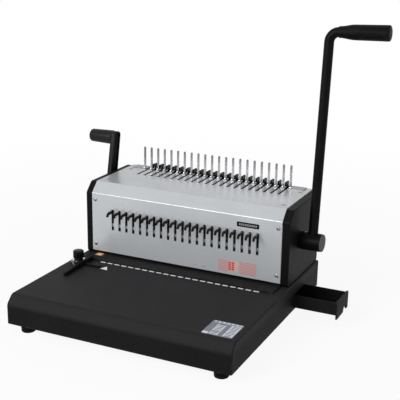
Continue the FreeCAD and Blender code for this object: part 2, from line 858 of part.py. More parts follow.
def make_bushes(label, shaft_radius, y, z, open_side):
    """Flanged bushes for one shaft; open_side is the side on which the shaft leaves the machine."""
    for side, name in ((-1, "left"), (1, "right")):
        reach = S.cheek_wide if side == open_side else S.bearing_deep
        outer = shaft_radius + S.run_gap + S.bush_wall
        sleeve_x = span(side, half_inside, half_inside + reach)
        sleeve = rod("X", (sleeve_x[0], y, z), reach, outer)
        flange_x = span(side, half_inside - S.bush_flange_thick, half_inside)
        flange = rod("X", (flange_x[0], y, z), S.bush_flange_thick, outer + S.bush_flange)
        bore_near = half_inside - S.bush_flange_thick - CUT_PAST
        bore_far = half_inside + reach + CUT_PAST
        bore_start = span(side, bore_near, bore_far)[0]
        bore = rod("X", (bore_start, y, z), bore_far - bore_near, shaft_radius + S.run_gap)
        piece(cut(fuse([sleeve, flange]), [bore]), f"{label}_bush_{name}")


def space_angle(radius, pitch_radius, teeth, play):
    """Half the angle of the gap between two involute teeth at a radius."""
    base_radius = pitch_radius * math.cos(PRESSURE_ANGLE)
    involute = math.tan(PRESSURE_ANGLE) - PRESSURE_ANGLE
    if radius > base_radius:
        angle = math.acos(base_radius / radius)
        flank = math.tan(angle) - angle
    else:
        flank = 0.0
    return math.pi / (2 * teeth) - involute + flank + play / (4 * pitch_radius)


def gear_gap(pitch_radius, teeth, towards):
    """Outline of the gap between two teeth, centred on a direction in degrees."""
    unit = S.gear_module.value
    pitch = pitch_radius.value
    radii = [pitch + height * unit for height in FLANK_HEIGHTS]
    flank = [(radius, space_angle(radius, pitch, teeth.value, S.gear_play.value)) for radius in radii]
    flank = [(flank[0][0] + CUT_PAST, flank[0][1])] + flank
    centre = math.radians(towards)
    sides = [(radius, centre + angle) for radius, angle in flank]
    sides += [(radius, centre - angle) for radius, angle in reversed(flank)]
    points = []
    for radius, angle in sides:
        across, up = radius * math.cos(angle) / unit, radius * math.sin(angle) / unit
        points.append((S.gear_module * across, S.gear_module * up))
    return points


def make_pinion(label, spot, pitch_radius, teeth, bore, towards):
    """Spur pinion cut one tooth gap at a time; towards is where a gap meets the rack."""
    gear = body()
    pad(gear, circles(gear, "YZ_Plane", [(0, 0)], pitch_radius + S.gear_module), S.gear_wide)
    gap = outline(gear, "YZ_Plane", gear_gap(pitch_radius, teeth, towards))
    first = through(gear, gap, S.gear_wide)
    ring = gear.newObject("PartDesign::PolarPattern", "teeth")
    ring.Originals = [first]
    ring.Axis = (gap, ["N_Axis"])
    ring.Angle = 360
    bind(ring, "Occurrences", teeth)
    gear.Tip = ring
    through(gear, circles(gear, "YZ_Plane", [(0, 0)], bore + S.press_gap), S.gear_wide)
    piece(gear, label, spot)


def rack_gap(along, pitch_line, depth_sign, upright):
    """Outline of one gap in a rack; depth_sign points from the pitch line into the rack."""
    lean = math.tan(PRESSURE_ANGLE)
    half = tooth_pitch / 4 + S.gear_play / 4
    tip = half + S.gear_module * lean + CUT_PAST * lean
    root = half - S.gear_module * (DEDENDUM * lean)
    out = pitch_line - depth_sign * (S.gear_module + CUT_PAST)
    into = pitch_line + depth_sign * S.gear_module * DEDENDUM
    points = [(along - tip, out), (along - root, into), (along + root, into), (along + tip, out)]
    return [(depth, place_along) for place_along, depth in points] if upright else points


def make_shafts():
    """The punch shaft and the comb shaft, each blind in one cheek and out through the other."""
    blind = half_inside + S.bearing_deep - S.seat_gap
    start = (-blind, S.main_y, S.main_z)
    piece(rod("X", start, blind + hub_out - S.seat_gap, S.main_radius), "main_shaft", start)
    reach = half_head + S.crank_stand + S.crank_hub - S.seat_gap
    start = (-reach, S.comb_y, S.comb_z)
    piece(rod("X", start, reach + blind, S.comb_radius), "comb_shaft", start)


# ---- punch lever ---------------------------------------------------------------------------------

def on_main_shaft(thing, label):
    """Set a lever piece on the punch shaft at the lever's resting lean."""
    return tilted(thing, label, S.lever_lean, S.main_y, S.main_z)


def make_lever_hub():
    """Hub clamped on the shaft, with a socket for the bar and a set screw hole."""
    hub = body()
    drum = pad(hub, circles(hub, "YZ_Plane", [(0, 0)], S.hub_radius, (hub_in + hub_out) / 2), S.hub_long)
    rims = edges_at(drum, x=hub_in) + edges_at(drum, x=hub_out)
    soften(hub, "Chamfer", drum, rims, S.hub_edge)
    through(hub, circles(hub, "YZ_Plane", [(0, 0)], S.main_radius + S.press_gap, hub_out), S.hub_long)
    deep = 2 * (S.hub_radius - S.lever_root)
    pocket(hub, circles(hub, "XY_Plane", [(lever_x, 0)], S.lever_radius + S.press_gap, S.hub_radius), deep)
    screw_x = half_head + S.set_screw_x
    screw_hole = circles(hub, "XY_Plane", [(screw_x, 0)], S.set_screw_radius + S.press_gap, S.hub_radius)
    pocket(hub, screw_hole, 2 * (S.hub_radius - S.main_radius))
    on_main_shaft(hub, "lever_hub")
    low = S.main_radius + S.press_gap
    start = (screw_x, 0, low)
    screw = group([rod("Z", start, S.hub_radius + S.set_screw_stand - low, S.set_screw_radius)])
    on_main_shaft(screw, "hub_set_screw")
    cap = body()
    cap_middle = hub_out + S.hub_cap_thick / 2
    disc = pad(cap, circles(cap, "YZ_Plane", [(0, 0)], S.hub_cap_radius, cap_middle), S.hub_cap_thick)
    soften(cap, "Fillet", disc, edges_at(disc, x=hub_out + S.hub_cap_thick), S.hub_edge)
    on_main_shaft(cap, "hub_cap")


def bent_path(bar):
    """Centre line of the lever: up, round the bend, and out along the grip."""
    path = sketch_on(bar, "XZ_Plane")
    tail_long = S.grip_long - S.grip_cap - S.tail_room
    tail_x = bend_end_x + tail_long * cosine(S.grip_rise)
    tail_z = bend_end_z + tail_long * sine(S.grip_rise)
    bend = S.lever_bend.value
    start = FreeCAD.Vector(lever_x.value, S.lever_root.value, 0)
    centre = FreeCAD.Vector(lever_x.value + bend, S.lever_high.value - bend, 0)
    turn_in = FreeCAD.Vector(lever_x.value, centre.y, 0)
    turn_out = FreeCAD.Vector(bend_end_x.value, bend_end_z.value, 0)
    tail = FreeCAD.Vector(tail_x.value, tail_z.value, 0)
    ring = Part.Circle(centre, FreeCAD.Vector(0, 0, 1), bend)
    bend_from = math.pi / 2 + math.radians(S.grip_rise.value)
    path.addGeometry([Part.LineSegment(start, turn_in), Part.ArcOfCircle(ring, bend_from, math.pi)], False)
    path.addGeometry(Part.LineSegment(turn_out, tail), False)
    path.addConstraint(Sketcher.Constraint("Tangent", 0, 2, 1, 2))
    path.addConstraint(Sketcher.Constraint("Tangent", 1, 1, 2, 1))
    path.addConstraint(Sketcher.Constraint("Vertical", 0))
    tie(path, "Radius", 1, S.lever_bend)
    tie(path, "DistanceX", -1, 1, 0, 1, lever_x)
    tie(path, "DistanceY", -1, 1, 0, 1, S.lever_root)
    tie(path, "DistanceX", -1, 1, 2, 2, tail_x)
    tie(path, "DistanceY", -1, 1, 2, 2, tail_z)
    return path


def make_lever_bar():
    """Round steel bar that rises from the hub and bends outwards into the grip."""
    bar = body()
    section = circles(bar, "XY_Plane", [(lever_x, 0)], S.lever_radius, S.lever_root)
    path = bent_path(bar)
    pipe = bar.newObject("PartDesign::AdditivePipe", "bent_bar")
    pipe.Profile = section
    pipe.Spine = (path, [])
    bar.Tip = pipe
    on_main_shaft(bar, "lever_bar")


def make_lever_grip():
    """Rubber grip turned about the bar's outer end: a slim neck, a long belly and a flat end."""
    grip = body()
    bore = S.lever_radius + S.press_gap
    profile = [(0, bore)]
    for step in range(GRIP_STEPS + 1):
        share = step / GRIP_STEPS
        swell_share = (1 - math.cos(math.pi * share)) / 2
        radius = S.grip_neck + (S.grip_belly - S.grip_neck) * swell_share
        profile.append((S.grip_swell * share, radius))
    profile += round_edge(S.grip_long, S.grip_end, S.grip_edge, 1)
    inner_end = S.grip_long - S.grip_cap
    profile += [(S.grip_long, 0), (inner_end, 0), (inner_end, bore)]
    turned = outline(grip, "XZ_Plane", profile, 0, (bend_end_x, bend_end_z), S.grip_rise)
    revolve(grip, turned, "H_Axis")
    on_main_shaft(grip, "lever_grip")


# ---- punch unit ----------------------------------------------------------------------------------

def make_punch_beam():
    """Steel beam that drives the punches down, bored for the two posts."""
    beam = body()
    section = rectangle(beam, "YZ_Plane", (S.beam_front, S.beam_low), (S.beam_rear, S.beam_high))
    pad(beam, section, 2 * half_beam)
    spots = [(side * post_x, S.punch_line) for side in (-1, 1)]
    bores = circles(beam, "XY_Plane", spots, S.post_radius + S.run_gap, S.beam_high)
    through(beam, bores, S.beam_high - S.beam_low)
    piece(beam, "punch_beam")


def make_punches():
    """Row of rectangular punches hanging from the beam."""
    punch = body()
    low = guide_low + S.punch_tip
    section = punch_section(punch, 0, (low + S.beam_low) / 2)
    row(punch, pad(punch, section, S.beam_low - low), section, "H_Axis", S.hole_count, row_long)
    piece(punch, "punches")


def make_selectors():
    """Row of hooked tabs on the beam that reach out through the front slots, and their strip."""
    tab = body()
    tip = S.tab_top - S.tab_arm
    reach = S.cover_front - S.tab_reach
    profile = [
        (reach, tip - S.tab_hook),
        (reach + S.tab_hook, tip - S.tab_hook),
        (reach + S.tab_arm, tip),
        (cover_in_front + S.seat_gap, tip),
        (cover_in_front + S.seat_gap, S.tab_foot),
        (S.beam_front, S.tab_foot),
        (S.beam_front, S.tab_top),
        (reach + S.tab_arm + S.tab_hook, S.tab_top),
        (reach + S.tab_hook, S.tab_top - S.tab_hook / 2),
        (reach, tip),
    ]
    shape = outline(tab, "YZ_Plane", profile, first_hole)
    row(tab, pad(tab, shape, S.tab_thick), shape, "N_Axis", S.hole_count, row_long)
    piece(tab, "selector_tabs")
    front = cover_in_front + S.seat_gap
    end = half_row + S.row_over
    low = (-end, front, S.tab_foot - S.strip_high)
    box_piece("selector_strip", low, (end, front + S.strip_deep, S.tab_foot))


def make_punch_racks():
    """Upright racks on the beam's ends that the main pinions drive down."""
    pitch_line = S.main_y - main_pitch
    low = S.main_z - S.punch_rack_below * tooth_pitch
    high = S.main_z + S.punch_rack_above * tooth_pitch
    for side, name in ((-1, "left"), (1, "right")):
        rack = body()
        x = side * main_gear_x
        tips = pitch_line + S.gear_module
        back = pitch_line - S.rack_back
        pad(rack, rectangle(rack, "YZ_Plane", (back, low), (tips, high), x), S.gear_wide)
        gap = outline(rack, "YZ_Plane", rack_gap(low, pitch_line, -1, True), x)
        gaps = S.punch_rack_above + S.punch_rack_below
        row(rack, pocket(rack, gap, 2 * S.gear_wide), gap, "V_Axis", gaps + 1, gaps * tooth_pitch)
        piece(rack, f"punch_rack_{name}")


def make_springs():
    """Coil springs round the posts that lift the beam again."""
    for side, name in ((-1, "left"), (1, "right")):
        coil = doc.addObject("Part::Helix", "coil")
        tall = S.beam_low - guide_top - 2 * S.spring_wire
        bind(coil, "Radius", S.spring_radius)
        bind(coil, "Height", tall)
        bind(coil, "Pitch", tall / S.spring_turns)
        wire = doc.addObject("Part::Circle", "wire")
        wire.Placement = FreeCAD.Placement(FreeCAD.Vector(), FreeCAD.Rotation(FreeCAD.Vector(1, 0, 0), 90))
        bind(wire, "Radius", S.spring_wire)
        place(wire, S.spring_radius, 0, 0)
        spring = doc.addObject("Part::Sweep", "spring")
        spring.Sections = [wire]
        spring.Spine = (coil, ["Edge1"])
        spring.Solid = True
        spring.Frenet = True
        low = guide_top + S.spring_wire
        piece(spring, f"return_spring_{name}", (side * post_x, S.punch_line, low))


# ---- comb opener ---------------------------------------------------------------------------------

def make_tine_plate():
    """Slotted strip on the top cover with a row of bent upright tines."""
    low = S.cover_top
    high = low + S.tine_plate_thick
    strip = body()
    end = half_cover - S.tine_inset
    front = S.tine_plate_front
    plan = rectangle(strip, "XY_Plane", (-end, front), (end, S.tine_plate_rear), (low + high) / 2)
    pad(strip, plan, S.tine_plate_thick)
    half_slot = S.tine_slot_wide / 2
    start = (first_hole - half_slot, front - CUT_PAST)
    slot = rectangle(strip, "XY_Plane", start, (first_hole + half_slot, S.top_slot_rear), low)
    row(strip, through(strip, slot, S.tine_plate_thick), slot, "H_Axis", S.hole_count, row_long)
    tine = body()
    rear = S.tine_y
    foot = rear - S.tine_foot
    face = rear - S.tine_thick
    step = high + S.tine_thick
    top = low + S.tine_tall
    profile = [(foot, high), (rear, high), (rear, top), (face, top), (face, step), (foot, step)]
    first_tine = first_hole - S.hole_pitch / 2
    shape = outline(tine, "YZ_Plane", profile, first_tine)
    blade = pad(tine, shape, S.tine_wide)
    inner = soften(tine, "Fillet", blade, edges_at(blade, y=face, z=step), S.tine_bend - S.tine_thick)
    bent = soften(tine, "Fillet", inner, edges_at(inner, y=rear, z=high), S.tine_bend)
    tops = []
    for side in (-1, 1):
        tops += edges_at(bent, x=first_tine + side * S.tine_wide / 2, z=top)
    tip = soften(tine, "Fillet", bent, tops, S.tine_wide / 2 - S.press_gap)
    doc.recompute()
    tines = tine.newObject("PartDesign::LinearPattern", "row")
    tines.Originals = [blade, inner, bent, tip]
    tines.Direction = (shape, ["N_Axis"])
    bind(tines, "Length", row_long + S.hole_pitch)
    bind(tines, "Occurrences", S.hole_count + 1)
    tine.Tip = tines
    piece(group([strip, tine]), "comb_tine_plate")


def make_carriage_rails():
    """C rails on the cheeks that the comb sliders run in."""
    gap = S.seat_gap
    for side, name in ((-1, "left"), (1, "right")):
        rail = body()
        wall = S.rail_wall
        low, high = slider_low - gap - wall, slider_top + gap + wall
        outer = half_inside
        inner = outer - S.rail_reach
        web = outer - wall
        profile = [
            (inner, low), (outer, low), (outer, high), (inner, high),
            (inner, high - wall), (web, high - wall), (web, low + wall), (inner, low + wall),
        ]
        if side < 0:
            profile = [(-u, v) for u, v in profile]
        mid = (S.rail_front + S.rail_rear) / 2
        pad(rail, outline(rail, "XZ_Plane", profile, mid), S.rail_rear - S.rail_front)
        piece(rail, f"carriage_rail_{name}")


def make_comb_sliders():
    """Sliders with a rack below each, driven by the comb pinions, and the hook carriage between them."""
    pitch_line = S.comb_z + comb_pitch
    front = S.comb_y - S.comb_rack_front * tooth_pitch
    rear = S.comb_y + S.comb_rack_rear * tooth_pitch
    tips = pitch_line - S.gear_module
    neck_in = comb_gear_x - S.slider_neck / 2
    tongue = half_inside - S.rail_wall - S.seat_gap
    for side, name in ((-1, "left"), (1, "right")):
        near, far = span(side, neck_in, tongue)
        slider = box((near, front, slider_low), (far, rear, slider_top))
        rack = body()
        x = side * comb_gear_x
        pad(rack, rectangle(rack, "YZ_Plane", (front, tips), (rear, slider_low), x), S.slider_neck)
        gap = outline(rack, "YZ_Plane", rack_gap(front, pitch_line, 1, False), x)
        gaps = S.comb_rack_front + S.comb_rack_rear
        row(rack, through(rack, gap, S.slider_neck), gap, "H_Axis", gaps + 1, gaps * tooth_pitch)
        piece(group([slider, rack]), f"comb_rack_{name}")
    low = (-neck_in, S.carriage_rear - S.carriage_deep, slider_low)
    box_piece("hook_carriage", low, (neck_in, S.carriage_rear, slider_top))


def make_comb_hooks():
    """Row of hooks on the carriage that rise through the top slots; the first slot has none."""
    hook = body()
    front, rear, top = S.hook_front, S.hook_rear, S.hook_top
    arm = top - S.hook_arm
    stem = rear - S.hook_stem
    root = hook_base + S.hook_root
    heel = S.carriage_rear - S.carriage_deep
    profile = [
        (heel, hook_base), (rear, hook_base), (rear, top), (front, top),
        (front, arm - S.hook_lip), (front + S.hook_lip, arm - S.hook_lip),
        (front + S.hook_lip, arm), (stem, arm), (stem, root), (heel, root),
    ]
    shape = outline(hook, "YZ_Plane", profile, first_hole + S.hole_pitch)
    row(hook, pad(hook, shape, S.hook_thick), shape, "N_Axis", S.hole_count - 1, row_long - S.hole_pitch)
    piece(hook, "comb_hooks")


def make_crank():
    """Moulded crank handle on the comb shaft, and the bolt that holds it."""
    crank = body()
    hub_mid = -half_head - S.crank_stand - S.crank_hub / 2
    arm_mid = -crank_in - S.crank_arm_thick / 2
    wide, tip = S.crank_arm_wide / 2, S.crank_arm_tip / 2
    shape = [(-wide, 0), (wide, 0), (tip, S.crank_long), (-tip, S.crank_long)]
    arm = pad(crank, outline(crank, "YZ_Plane", shape, arm_mid), S.crank_arm_thick)
    flanks = []
    for x in (-crank_in, -crank_in - S.crank_arm_thick):
        for edge in edges_at(arm, x=x):
            ends = arm.Shape.getElement(edge).Vertexes
            if abs(ends[0].Z - ends[1].Z) > SAME_PLACE:
                flanks.append(edge)
    soften(crank, "Fillet", arm, flanks, S.crank_arm_edge)
    pad(crank, circles(crank, "YZ_Plane", [(0, 0)], S.crank_hub_radius, hub_mid), S.crank_hub)
    grip = [(-crank_in, 0)]
    grip += reversed(round_edge(-crank_in, S.crank_grip_root, S.crank_arm_edge, 1))
    grip += round_edge(-crank_out, S.crank_grip_tip, S.crank_grip_edge, -1)
    grip.append((-crank_out, 0))
    revolve(crank, outline(crank, "XZ_Plane", grip, 0, (0, S.crank_long)), "H_Axis")
    bore = circles(crank, "YZ_Plane", [(0, 0)], S.comb_radius + S.press_gap, hub_mid)
    pocket(crank, bore, S.crank_hub + 2 * CUT_PAST)
    tilted(crank, "crank_handle", S.crank_lean, S.comb_y, S.comb_z)
    bolt = body()
    face = -half_head - S.crank_stand - S.crank_hub
    disc = circles(bolt, "YZ_Plane", [(0, 0)], S.crank_bolt_radius, face - S.crank_bolt_tall / 2)
    head = pad(bolt, disc, S.crank_bolt_tall)
    soften(bolt, "Fillet", head, edges_at(head, x=face - S.crank_bolt_tall), S.crank_arm_edge)
    tilted(bolt, "crank_bolt", S.crank_lean, S.comb_y, S.comb_z)


# ---- chip drawer ---------------------------------------------------------------------------------

def make_drawer():
    """Open tray that catches the chips, with a face plate notched for a finger."""
    tray = body()
    skin = S.drawer_skin
    top = S.drawer_low + S.drawer_tall
    mid = (S.drawer_low + top) / 2
    plan = rectangle(tray, "XY_Plane", (drawer_in, S.drawer_front), (drawer_out, drawer_rear), mid)
    pad(tray, plan, S.drawer_tall)
    low = (drawer_in + skin, S.drawer_front + skin)
    high = (drawer_out - skin, drawer_rear - skin)
    pocket(tray, rectangle(tray, "XY_Plane", low, high, top), 2 * (S.drawer_tall - skin))
    piece(tray, "chip_drawer")
    face = body()
    low = (S.drawer_front - S.face_margin, S.face_low)
    high = (drawer_rear + S.face_margin, S.face_top)
    plate = pad(face, rectangle(face, "YZ_Plane", low, high, drawer_out + S.face_thick / 2), S.face_thick)
    corners = []
    for y in (low[0], high[0]):
        corners += edges_at(plate, y=y, z=S.face_top)
    soften(face, "Fillet", plate, corners, S.face_corner)
    notch = circles(face, "YZ_Plane", [(S.notch_y, S.face_low)], S.notch_radius, drawer_out)
    through(face, notch, S.face_thick)
    piece(face, "drawer_face")


def make_drawer_rails():
    """Steel angles on the base's floor that the drawer slides between."""
    left = -half_base + S.base_skin + S.drawer_rail_inset
    right = half_base - S.base_skin - S.seat_gap
    low = S.foot_tall + S.floor_skin
    seat = S.drawer_low - S.seat_gap
    long_mid = (left + right) / 2
    front_edge, rear_edge = S.drawer_front - S.seat_gap, drawer_rear + S.seat_gap
    for side, name, edge in ((-1, "front", front_edge), (1, "rear", rear_edge)):
        rail = body()
        outer = edge + side * S.rail_skin
        foot = edge - side * S.drawer_rail_foot
        high = low + S.drawer_rail_tall
        profile = [(outer, low), (foot, low), (foot, seat), (edge, seat), (edge, high), (outer, high)]
        pad(rail, outline(rail, "YZ_Plane", profile, long_mid), right - left)
        piece(rail, f"drawer_rail_{name}")


# ---- edge guide ----------------------------------------------------------------------------------

def make_edge_guide():
    """L-shaped paper guide with a bracket clamped to the table."""
    guide = body()
    bar_low, bar_high = (guide_left, -S.guide_bar_front), (guide_right, S.guide_set_back)
    grow_up(guide, bar_low, bar_high, S.guide_bar_tall)
    arm_low = (guide_left, S.guide_set_back - S.guide_bar_wide)
    grow_up(guide, arm_low, (guide_right + S.guide_arm_long, S.guide_set_back), S.guide_arm_tall)
    rear = stud_y + S.bracket_deep / 2
    grow_up(guide, (bracket_left, rear - S.bracket_deep), (guide_right, rear), S.bracket_thick)
    hole = circles(guide, "XY_Plane", [(stud_x, stud_y)], S.stud_radius + S.run_gap, guide_foot)
    through(guide, hole, S.bracket_thick)
    piece(guide, "edge_guide")


def grow_up(guide, low, high, tall):
    """A block of the guide that stands on the table's clearance."""
    pad(guide, rectangle(guide, "XY_Plane", low, high, guide_foot + tall / 2), tall)


def make_clamp_knob():
    """Domed knob whose screw passes the bracket and the table slot to a plate nut below."""
    knob = body()
    under = S.table_top - S.base_skin - S.seat_gap
    top = knob_low + S.knob_tall
    shoulder = top - 2 * S.knob_dome
    profile = [
        (0, under - S.nut_tall),
        (S.nut_radius, under - S.nut_tall),
        (S.nut_radius, under),
        (S.stud_radius, under),
        (S.stud_radius, knob_low),
        (S.knob_radius, knob_low),
        (S.knob_radius, shoulder),
        (S.knob_radius - S.knob_dome, top - S.knob_dome / 2),
        (S.knob_radius / 2, top),
        (0, top),
    ]
    revolve(knob, outline(knob, "XZ_Plane", profile), "V_Axis")
    piece(knob, "clamp_knob", (stud_x, stud_y, 0))


# ---- the whole machine ---------------------------------------------------------------------------

def build():
    """Make every sub-part."""
    make_base_shell()
    make_base_floor()
    make_feet()
    for side, name in ((-1, "left"), (1, "right")):
        make_cheek(side, name)
    make_cover_bars()
    make_front_cover()
    make_rear_panel()
    make_cover_screws()
    make_die_plate("lower_die_plate", S.die_front, S.die_rear, S.table_top, die_top)
    make_die_plate("upper_guide_plate", S.guide_front, S.guide_rear, guide_low, guide_top)
    make_throat()
    make_die_bolts()
    make_guide_posts()
    make_bushes("main", S.main_radius, S.main_y, S.main_z, 1)
    make_bushes("comb", S.comb_radius, S.comb_y, S.comb_z, -1)
    make_shafts()
    for side, name in ((-1, "left"), (1, "right")):
        spot = (side * main_gear_x, S.main_y, S.main_z)
        make_pinion(f"main_pinion_{name}", spot, main_pitch, S.main_teeth, S.main_radius, 180)
        spot = (side * comb_gear_x, S.comb_y, S.comb_z)
        make_pinion(f"comb_pinion_{name}", spot, comb_pitch, S.comb_teeth, S.comb_radius, 90)
    make_lever_hub()
    make_lever_bar()
    make_lever_grip()
    make_punch_beam()
    make_punches()
    make_selectors()
    make_punch_racks()
    make_springs()
    make_tine_plate()
    make_carriage_rails()
    make_comb_sliders()
    make_comb_hooks()
    make_crank()
    make_drawer()
    make_drawer_rails()
    make_edge_guide()
    make_clamp_knob()
    doc.recompute()


def check():
    """Stop if any object failed or any sub-part's shape is missing or invalid."""
    for thing in doc.Objects:
        if "Invalid" in thing.State or "Error" in thing.State:
            raise RuntimeError(f"{thing.Label} did not build: {thing.State}")
    for thing in pieces:
        if thing.Shape.isNull() or not thing.Shape.isValid():
            raise RuntimeError(f"{thing.Label} has no valid shape")


def write():
    """One STEP file for each sub-part."""
    os.makedirs("parts", exist_ok=True)
    for thing in pieces:
        thing.Shape.exportStep(f"parts/{thing.Label}.step")


build()
check()
write()
print(len(pieces), "sub-parts")
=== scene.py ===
import math
import bmesh
import bpy
import numpy as np
from mathutils import Matrix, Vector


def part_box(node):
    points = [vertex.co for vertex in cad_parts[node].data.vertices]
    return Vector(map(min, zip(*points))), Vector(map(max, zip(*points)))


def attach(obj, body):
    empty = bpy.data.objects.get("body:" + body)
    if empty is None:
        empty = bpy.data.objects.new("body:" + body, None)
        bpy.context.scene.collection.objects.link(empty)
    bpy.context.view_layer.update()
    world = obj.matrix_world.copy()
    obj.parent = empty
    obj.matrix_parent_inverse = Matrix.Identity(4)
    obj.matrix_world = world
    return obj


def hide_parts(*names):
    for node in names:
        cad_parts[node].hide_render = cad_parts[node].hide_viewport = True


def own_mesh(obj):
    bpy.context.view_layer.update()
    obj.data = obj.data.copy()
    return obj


# Desk machine that punches a row of holes along a sheet's edge and opens plastic binding combs.
# Metres. +X is the user's right, +Y points away from the user, +Z is up, and the feet stand on Z = 0.

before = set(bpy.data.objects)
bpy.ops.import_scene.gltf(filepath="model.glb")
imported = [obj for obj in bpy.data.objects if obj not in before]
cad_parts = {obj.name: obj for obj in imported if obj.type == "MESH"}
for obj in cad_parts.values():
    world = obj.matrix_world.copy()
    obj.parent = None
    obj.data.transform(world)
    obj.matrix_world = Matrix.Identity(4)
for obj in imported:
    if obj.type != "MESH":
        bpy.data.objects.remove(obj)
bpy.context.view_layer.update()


# ---- base ----------------------------------------------------------------------------------------
# A shallow box folded from sheet steel, open below and closed by a flat plate. It is powder coated
# matt black, with fine beads in the coat. Its table and lip are painted paler as painted light, and its
# edges are painted paler as a painted edge highlight, in patches like rubbing.

mm = 0.001
base_low, base_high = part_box("base_shell")
table_top = base_high.z
mid_x = (base_low.x + base_high.x) / 2
top_light_reach = 20 * mm            # down from the table to where the painted paler top ends
top_light_fade = 10 * mm             # height over which it thins out


def tone(red, green, blue):
    """A screen colour, 0 to 255, as a shader's linear values: ((c + 0.055) / 1.055) to the power 2.4."""
    parts = [((part / 255 + 0.055) / 1.055) ** 2.4 for part in (red, green, blue)]
    return (*parts, 1.0)


class Shade:
    """A value in a material's node tree. The operators make Math nodes, and node() makes any other."""

    def __init__(self, tree, socket=None):
        self.tree = tree
        self.socket = socket

    def node(self, kind, settings=None, inputs=None, output=0):
        """A node with its settings set first, then its sockets given values or links."""
        made = self.tree.nodes.new(kind)
        for name, value in (settings or {}).items():
            setattr(made, name, value)
        for name, value in (inputs or {}).items():
            self.feed(made, name, value)
        return Shade(self.tree, made.outputs[output])

    def feed(self, made, name, value):
        """Link a value to a node's socket, or set the socket to a plain number or colour."""
        if isinstance(value, Shade):
            self.tree.links.new(value.socket, made.inputs[name])
        else:
            made.inputs[name].default_value = value

    def part(self, output):
        """Another output of the same node."""
        return Shade(self.tree, self.socket.node.outputs[output])

    def maths(self, operation, first, second=0.0, clamp=False):
        """A Math node of two values."""
        settings = {"operation": operation, "use_clamp": clamp}
        return self.node("ShaderNodeMath", settings, {0: first, 1: second})

    def __add__(self, other):
        return self.maths("ADD", self, other)

    def __sub__(self, other):
        return self.maths("SUBTRACT", self, other)

    def __mul__(self, other):
        return self.maths("MULTIPLY", self, other)

    def __truediv__(self, other):
        return self.maths("DIVIDE", self, other)

    __radd__ = __add__

    def size(self):
        return self.maths("ABSOLUTE", self)

    def clamped(self):
        return self.maths("ADD", self, 0.0, True)

    def larger(self, other):
        return self.maths("MAXIMUM", self, other)

    def above(self, edge, width):
        """0 below the edge and 1 above it, over a ramp of that width."""
        return ((self - edge) / width).clamped()

    def blend(self, first, second):
        """Colour between two colours by this value as the share of the second."""
        return self.node("ShaderNodeMix", {"data_type": "RGBA"}, {0: self, 6: first, 7: second}, 2)


def even_finish(name, colour, roughness, metallic=0.0, specular=0.5):
    """A new material of one colour and gloss: returns it, its shader and its object coordinates."""
    material = bpy.data.materials.new(name)
    material.use_nodes = True
    shader = material.node_tree.nodes["Principled BSDF"]
    shader.inputs["Base Color"].default_value = colour
    shader.inputs["Roughness"].default_value = roughness
    shader.inputs["Metallic"].default_value = metallic
    shader.inputs["Specular IOR Level"].default_value = specular
    place = Shade(material.node_tree).node("ShaderNodeTexCoord", output="Object")
    return material, shader, place


def noise(place, size, detail=2.0, stretch=(1, 1, 1)):
    """Noise whose features are about size across, drawn out along an axis by its stretch."""
    if stretch != (1, 1, 1):
        scale = tuple(1 / part for part in stretch)
        place = place.node("ShaderNodeMapping", inputs={"Vector": place, "Scale": scale})
    return place.node("ShaderNodeTexNoise", inputs={"Vector": place, "Scale": 1 / size, "Detail": detail})


def bump(shader, height, depth):
    """Relief of a value from 0 to 1 that stands depth high."""
    inputs = {"Height": height, "Distance": depth, "Strength": 1.0}
    height.feed(shader, "Normal", height.node("ShaderNodeBump", inputs=inputs))


def box_edge_mask(place, low, high, reach):
    """Mask of a box's edges: an axis counts 1 at its two outer faces and falls to 0 at reach inside them,
    and an edge is where two axes count together."""
    apart = place.node("ShaderNodeSeparateXYZ", inputs={"Vector": place})
    near = []
    for axis in range(3):
        centre = (low[axis] + high[axis]) / 2
        half = (high[axis] - low[axis]) / 2
        near.append(((apart.part(axis) - centre).size() - (half - reach)) / reach)
    near = [axis.clamped() for axis in near]
    return (near[0] * near[1]).larger(near[1] * near[2]).larger(near[0] * near[2])


def powder_coat(name, dark, light, pale_tone, box, painted_top_light=None, bead=0.7 * mm, depth=0.05 * mm, roughness=0.62):
    """Powder coat: two tones in slow clouds, fine beads in relief, and edges painted paler and smoother: a
    painted edge highlight in patches like rubbing. A paler top tone, where there is one, is painted light:
    it covers the box's top and thins out down its sides."""
    material, shader, place = even_finish(name, dark, roughness, specular=0.08)
    cloud = noise(place, 70 * mm, detail=3.0)
    beads = noise(place, bead, detail=1.0)
    edge_patches = noise(place, 6 * mm, detail=4.0).above(0.45, 0.3)
    # The paler edges are painted: a painted edge highlight, broken into patches like rubbing.
    edge_mark = box_edge_mask(place, *box, 2.5 * mm) * edge_patches
    coat = cloud.above(0.3, 0.4).blend(dark, light)
    # The paler top is painted light: the top painted brighter than the sides, thinning out down them.
    if painted_top_light:
        height = place.node("ShaderNodeSeparateXYZ", inputs={"Vector": place}, output=2)
        painted_top_mask = height.above(box[1].z - top_light_reach, top_light_fade)
        coat = (painted_top_mask * (cloud * 0.4 + 0.75).clamped()).blend(coat, painted_top_light)
    fleck = beads.above(0.56, 0.2) * 0.25
    place.feed(shader, "Base Color", (edge_mark * 0.7 + fleck).clamped().blend(coat, pale_tone))
    place.feed(shader, "Roughness", roughness + (cloud - 0.5) * 0.16 + (beads - 0.5) * 0.12 - edge_mark * 0.12)
    bump(shader, beads, depth)
    return material


def dress(material, *names):
    """Give CAD nodes a finish; their shapes stay as they are."""
    for name in names:
        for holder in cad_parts[name].material_slots:
            holder.material = material


base_paint = powder_coat(
    "base_powder_coat", tone(8, 8, 9), tone(14, 14, 15), tone(72, 72, 75), (base_low, base_high),
    painted_top_light=tone(35, 35, 36))
dress(base_paint, "base_shell", "base_floor")


# ---- feet ----------------------------------------------------------------------------------------
# Four moulded rubber feet, each a short taper with rounded rims and a washer seat in its hollow
# underside. They are screwed up into the base.

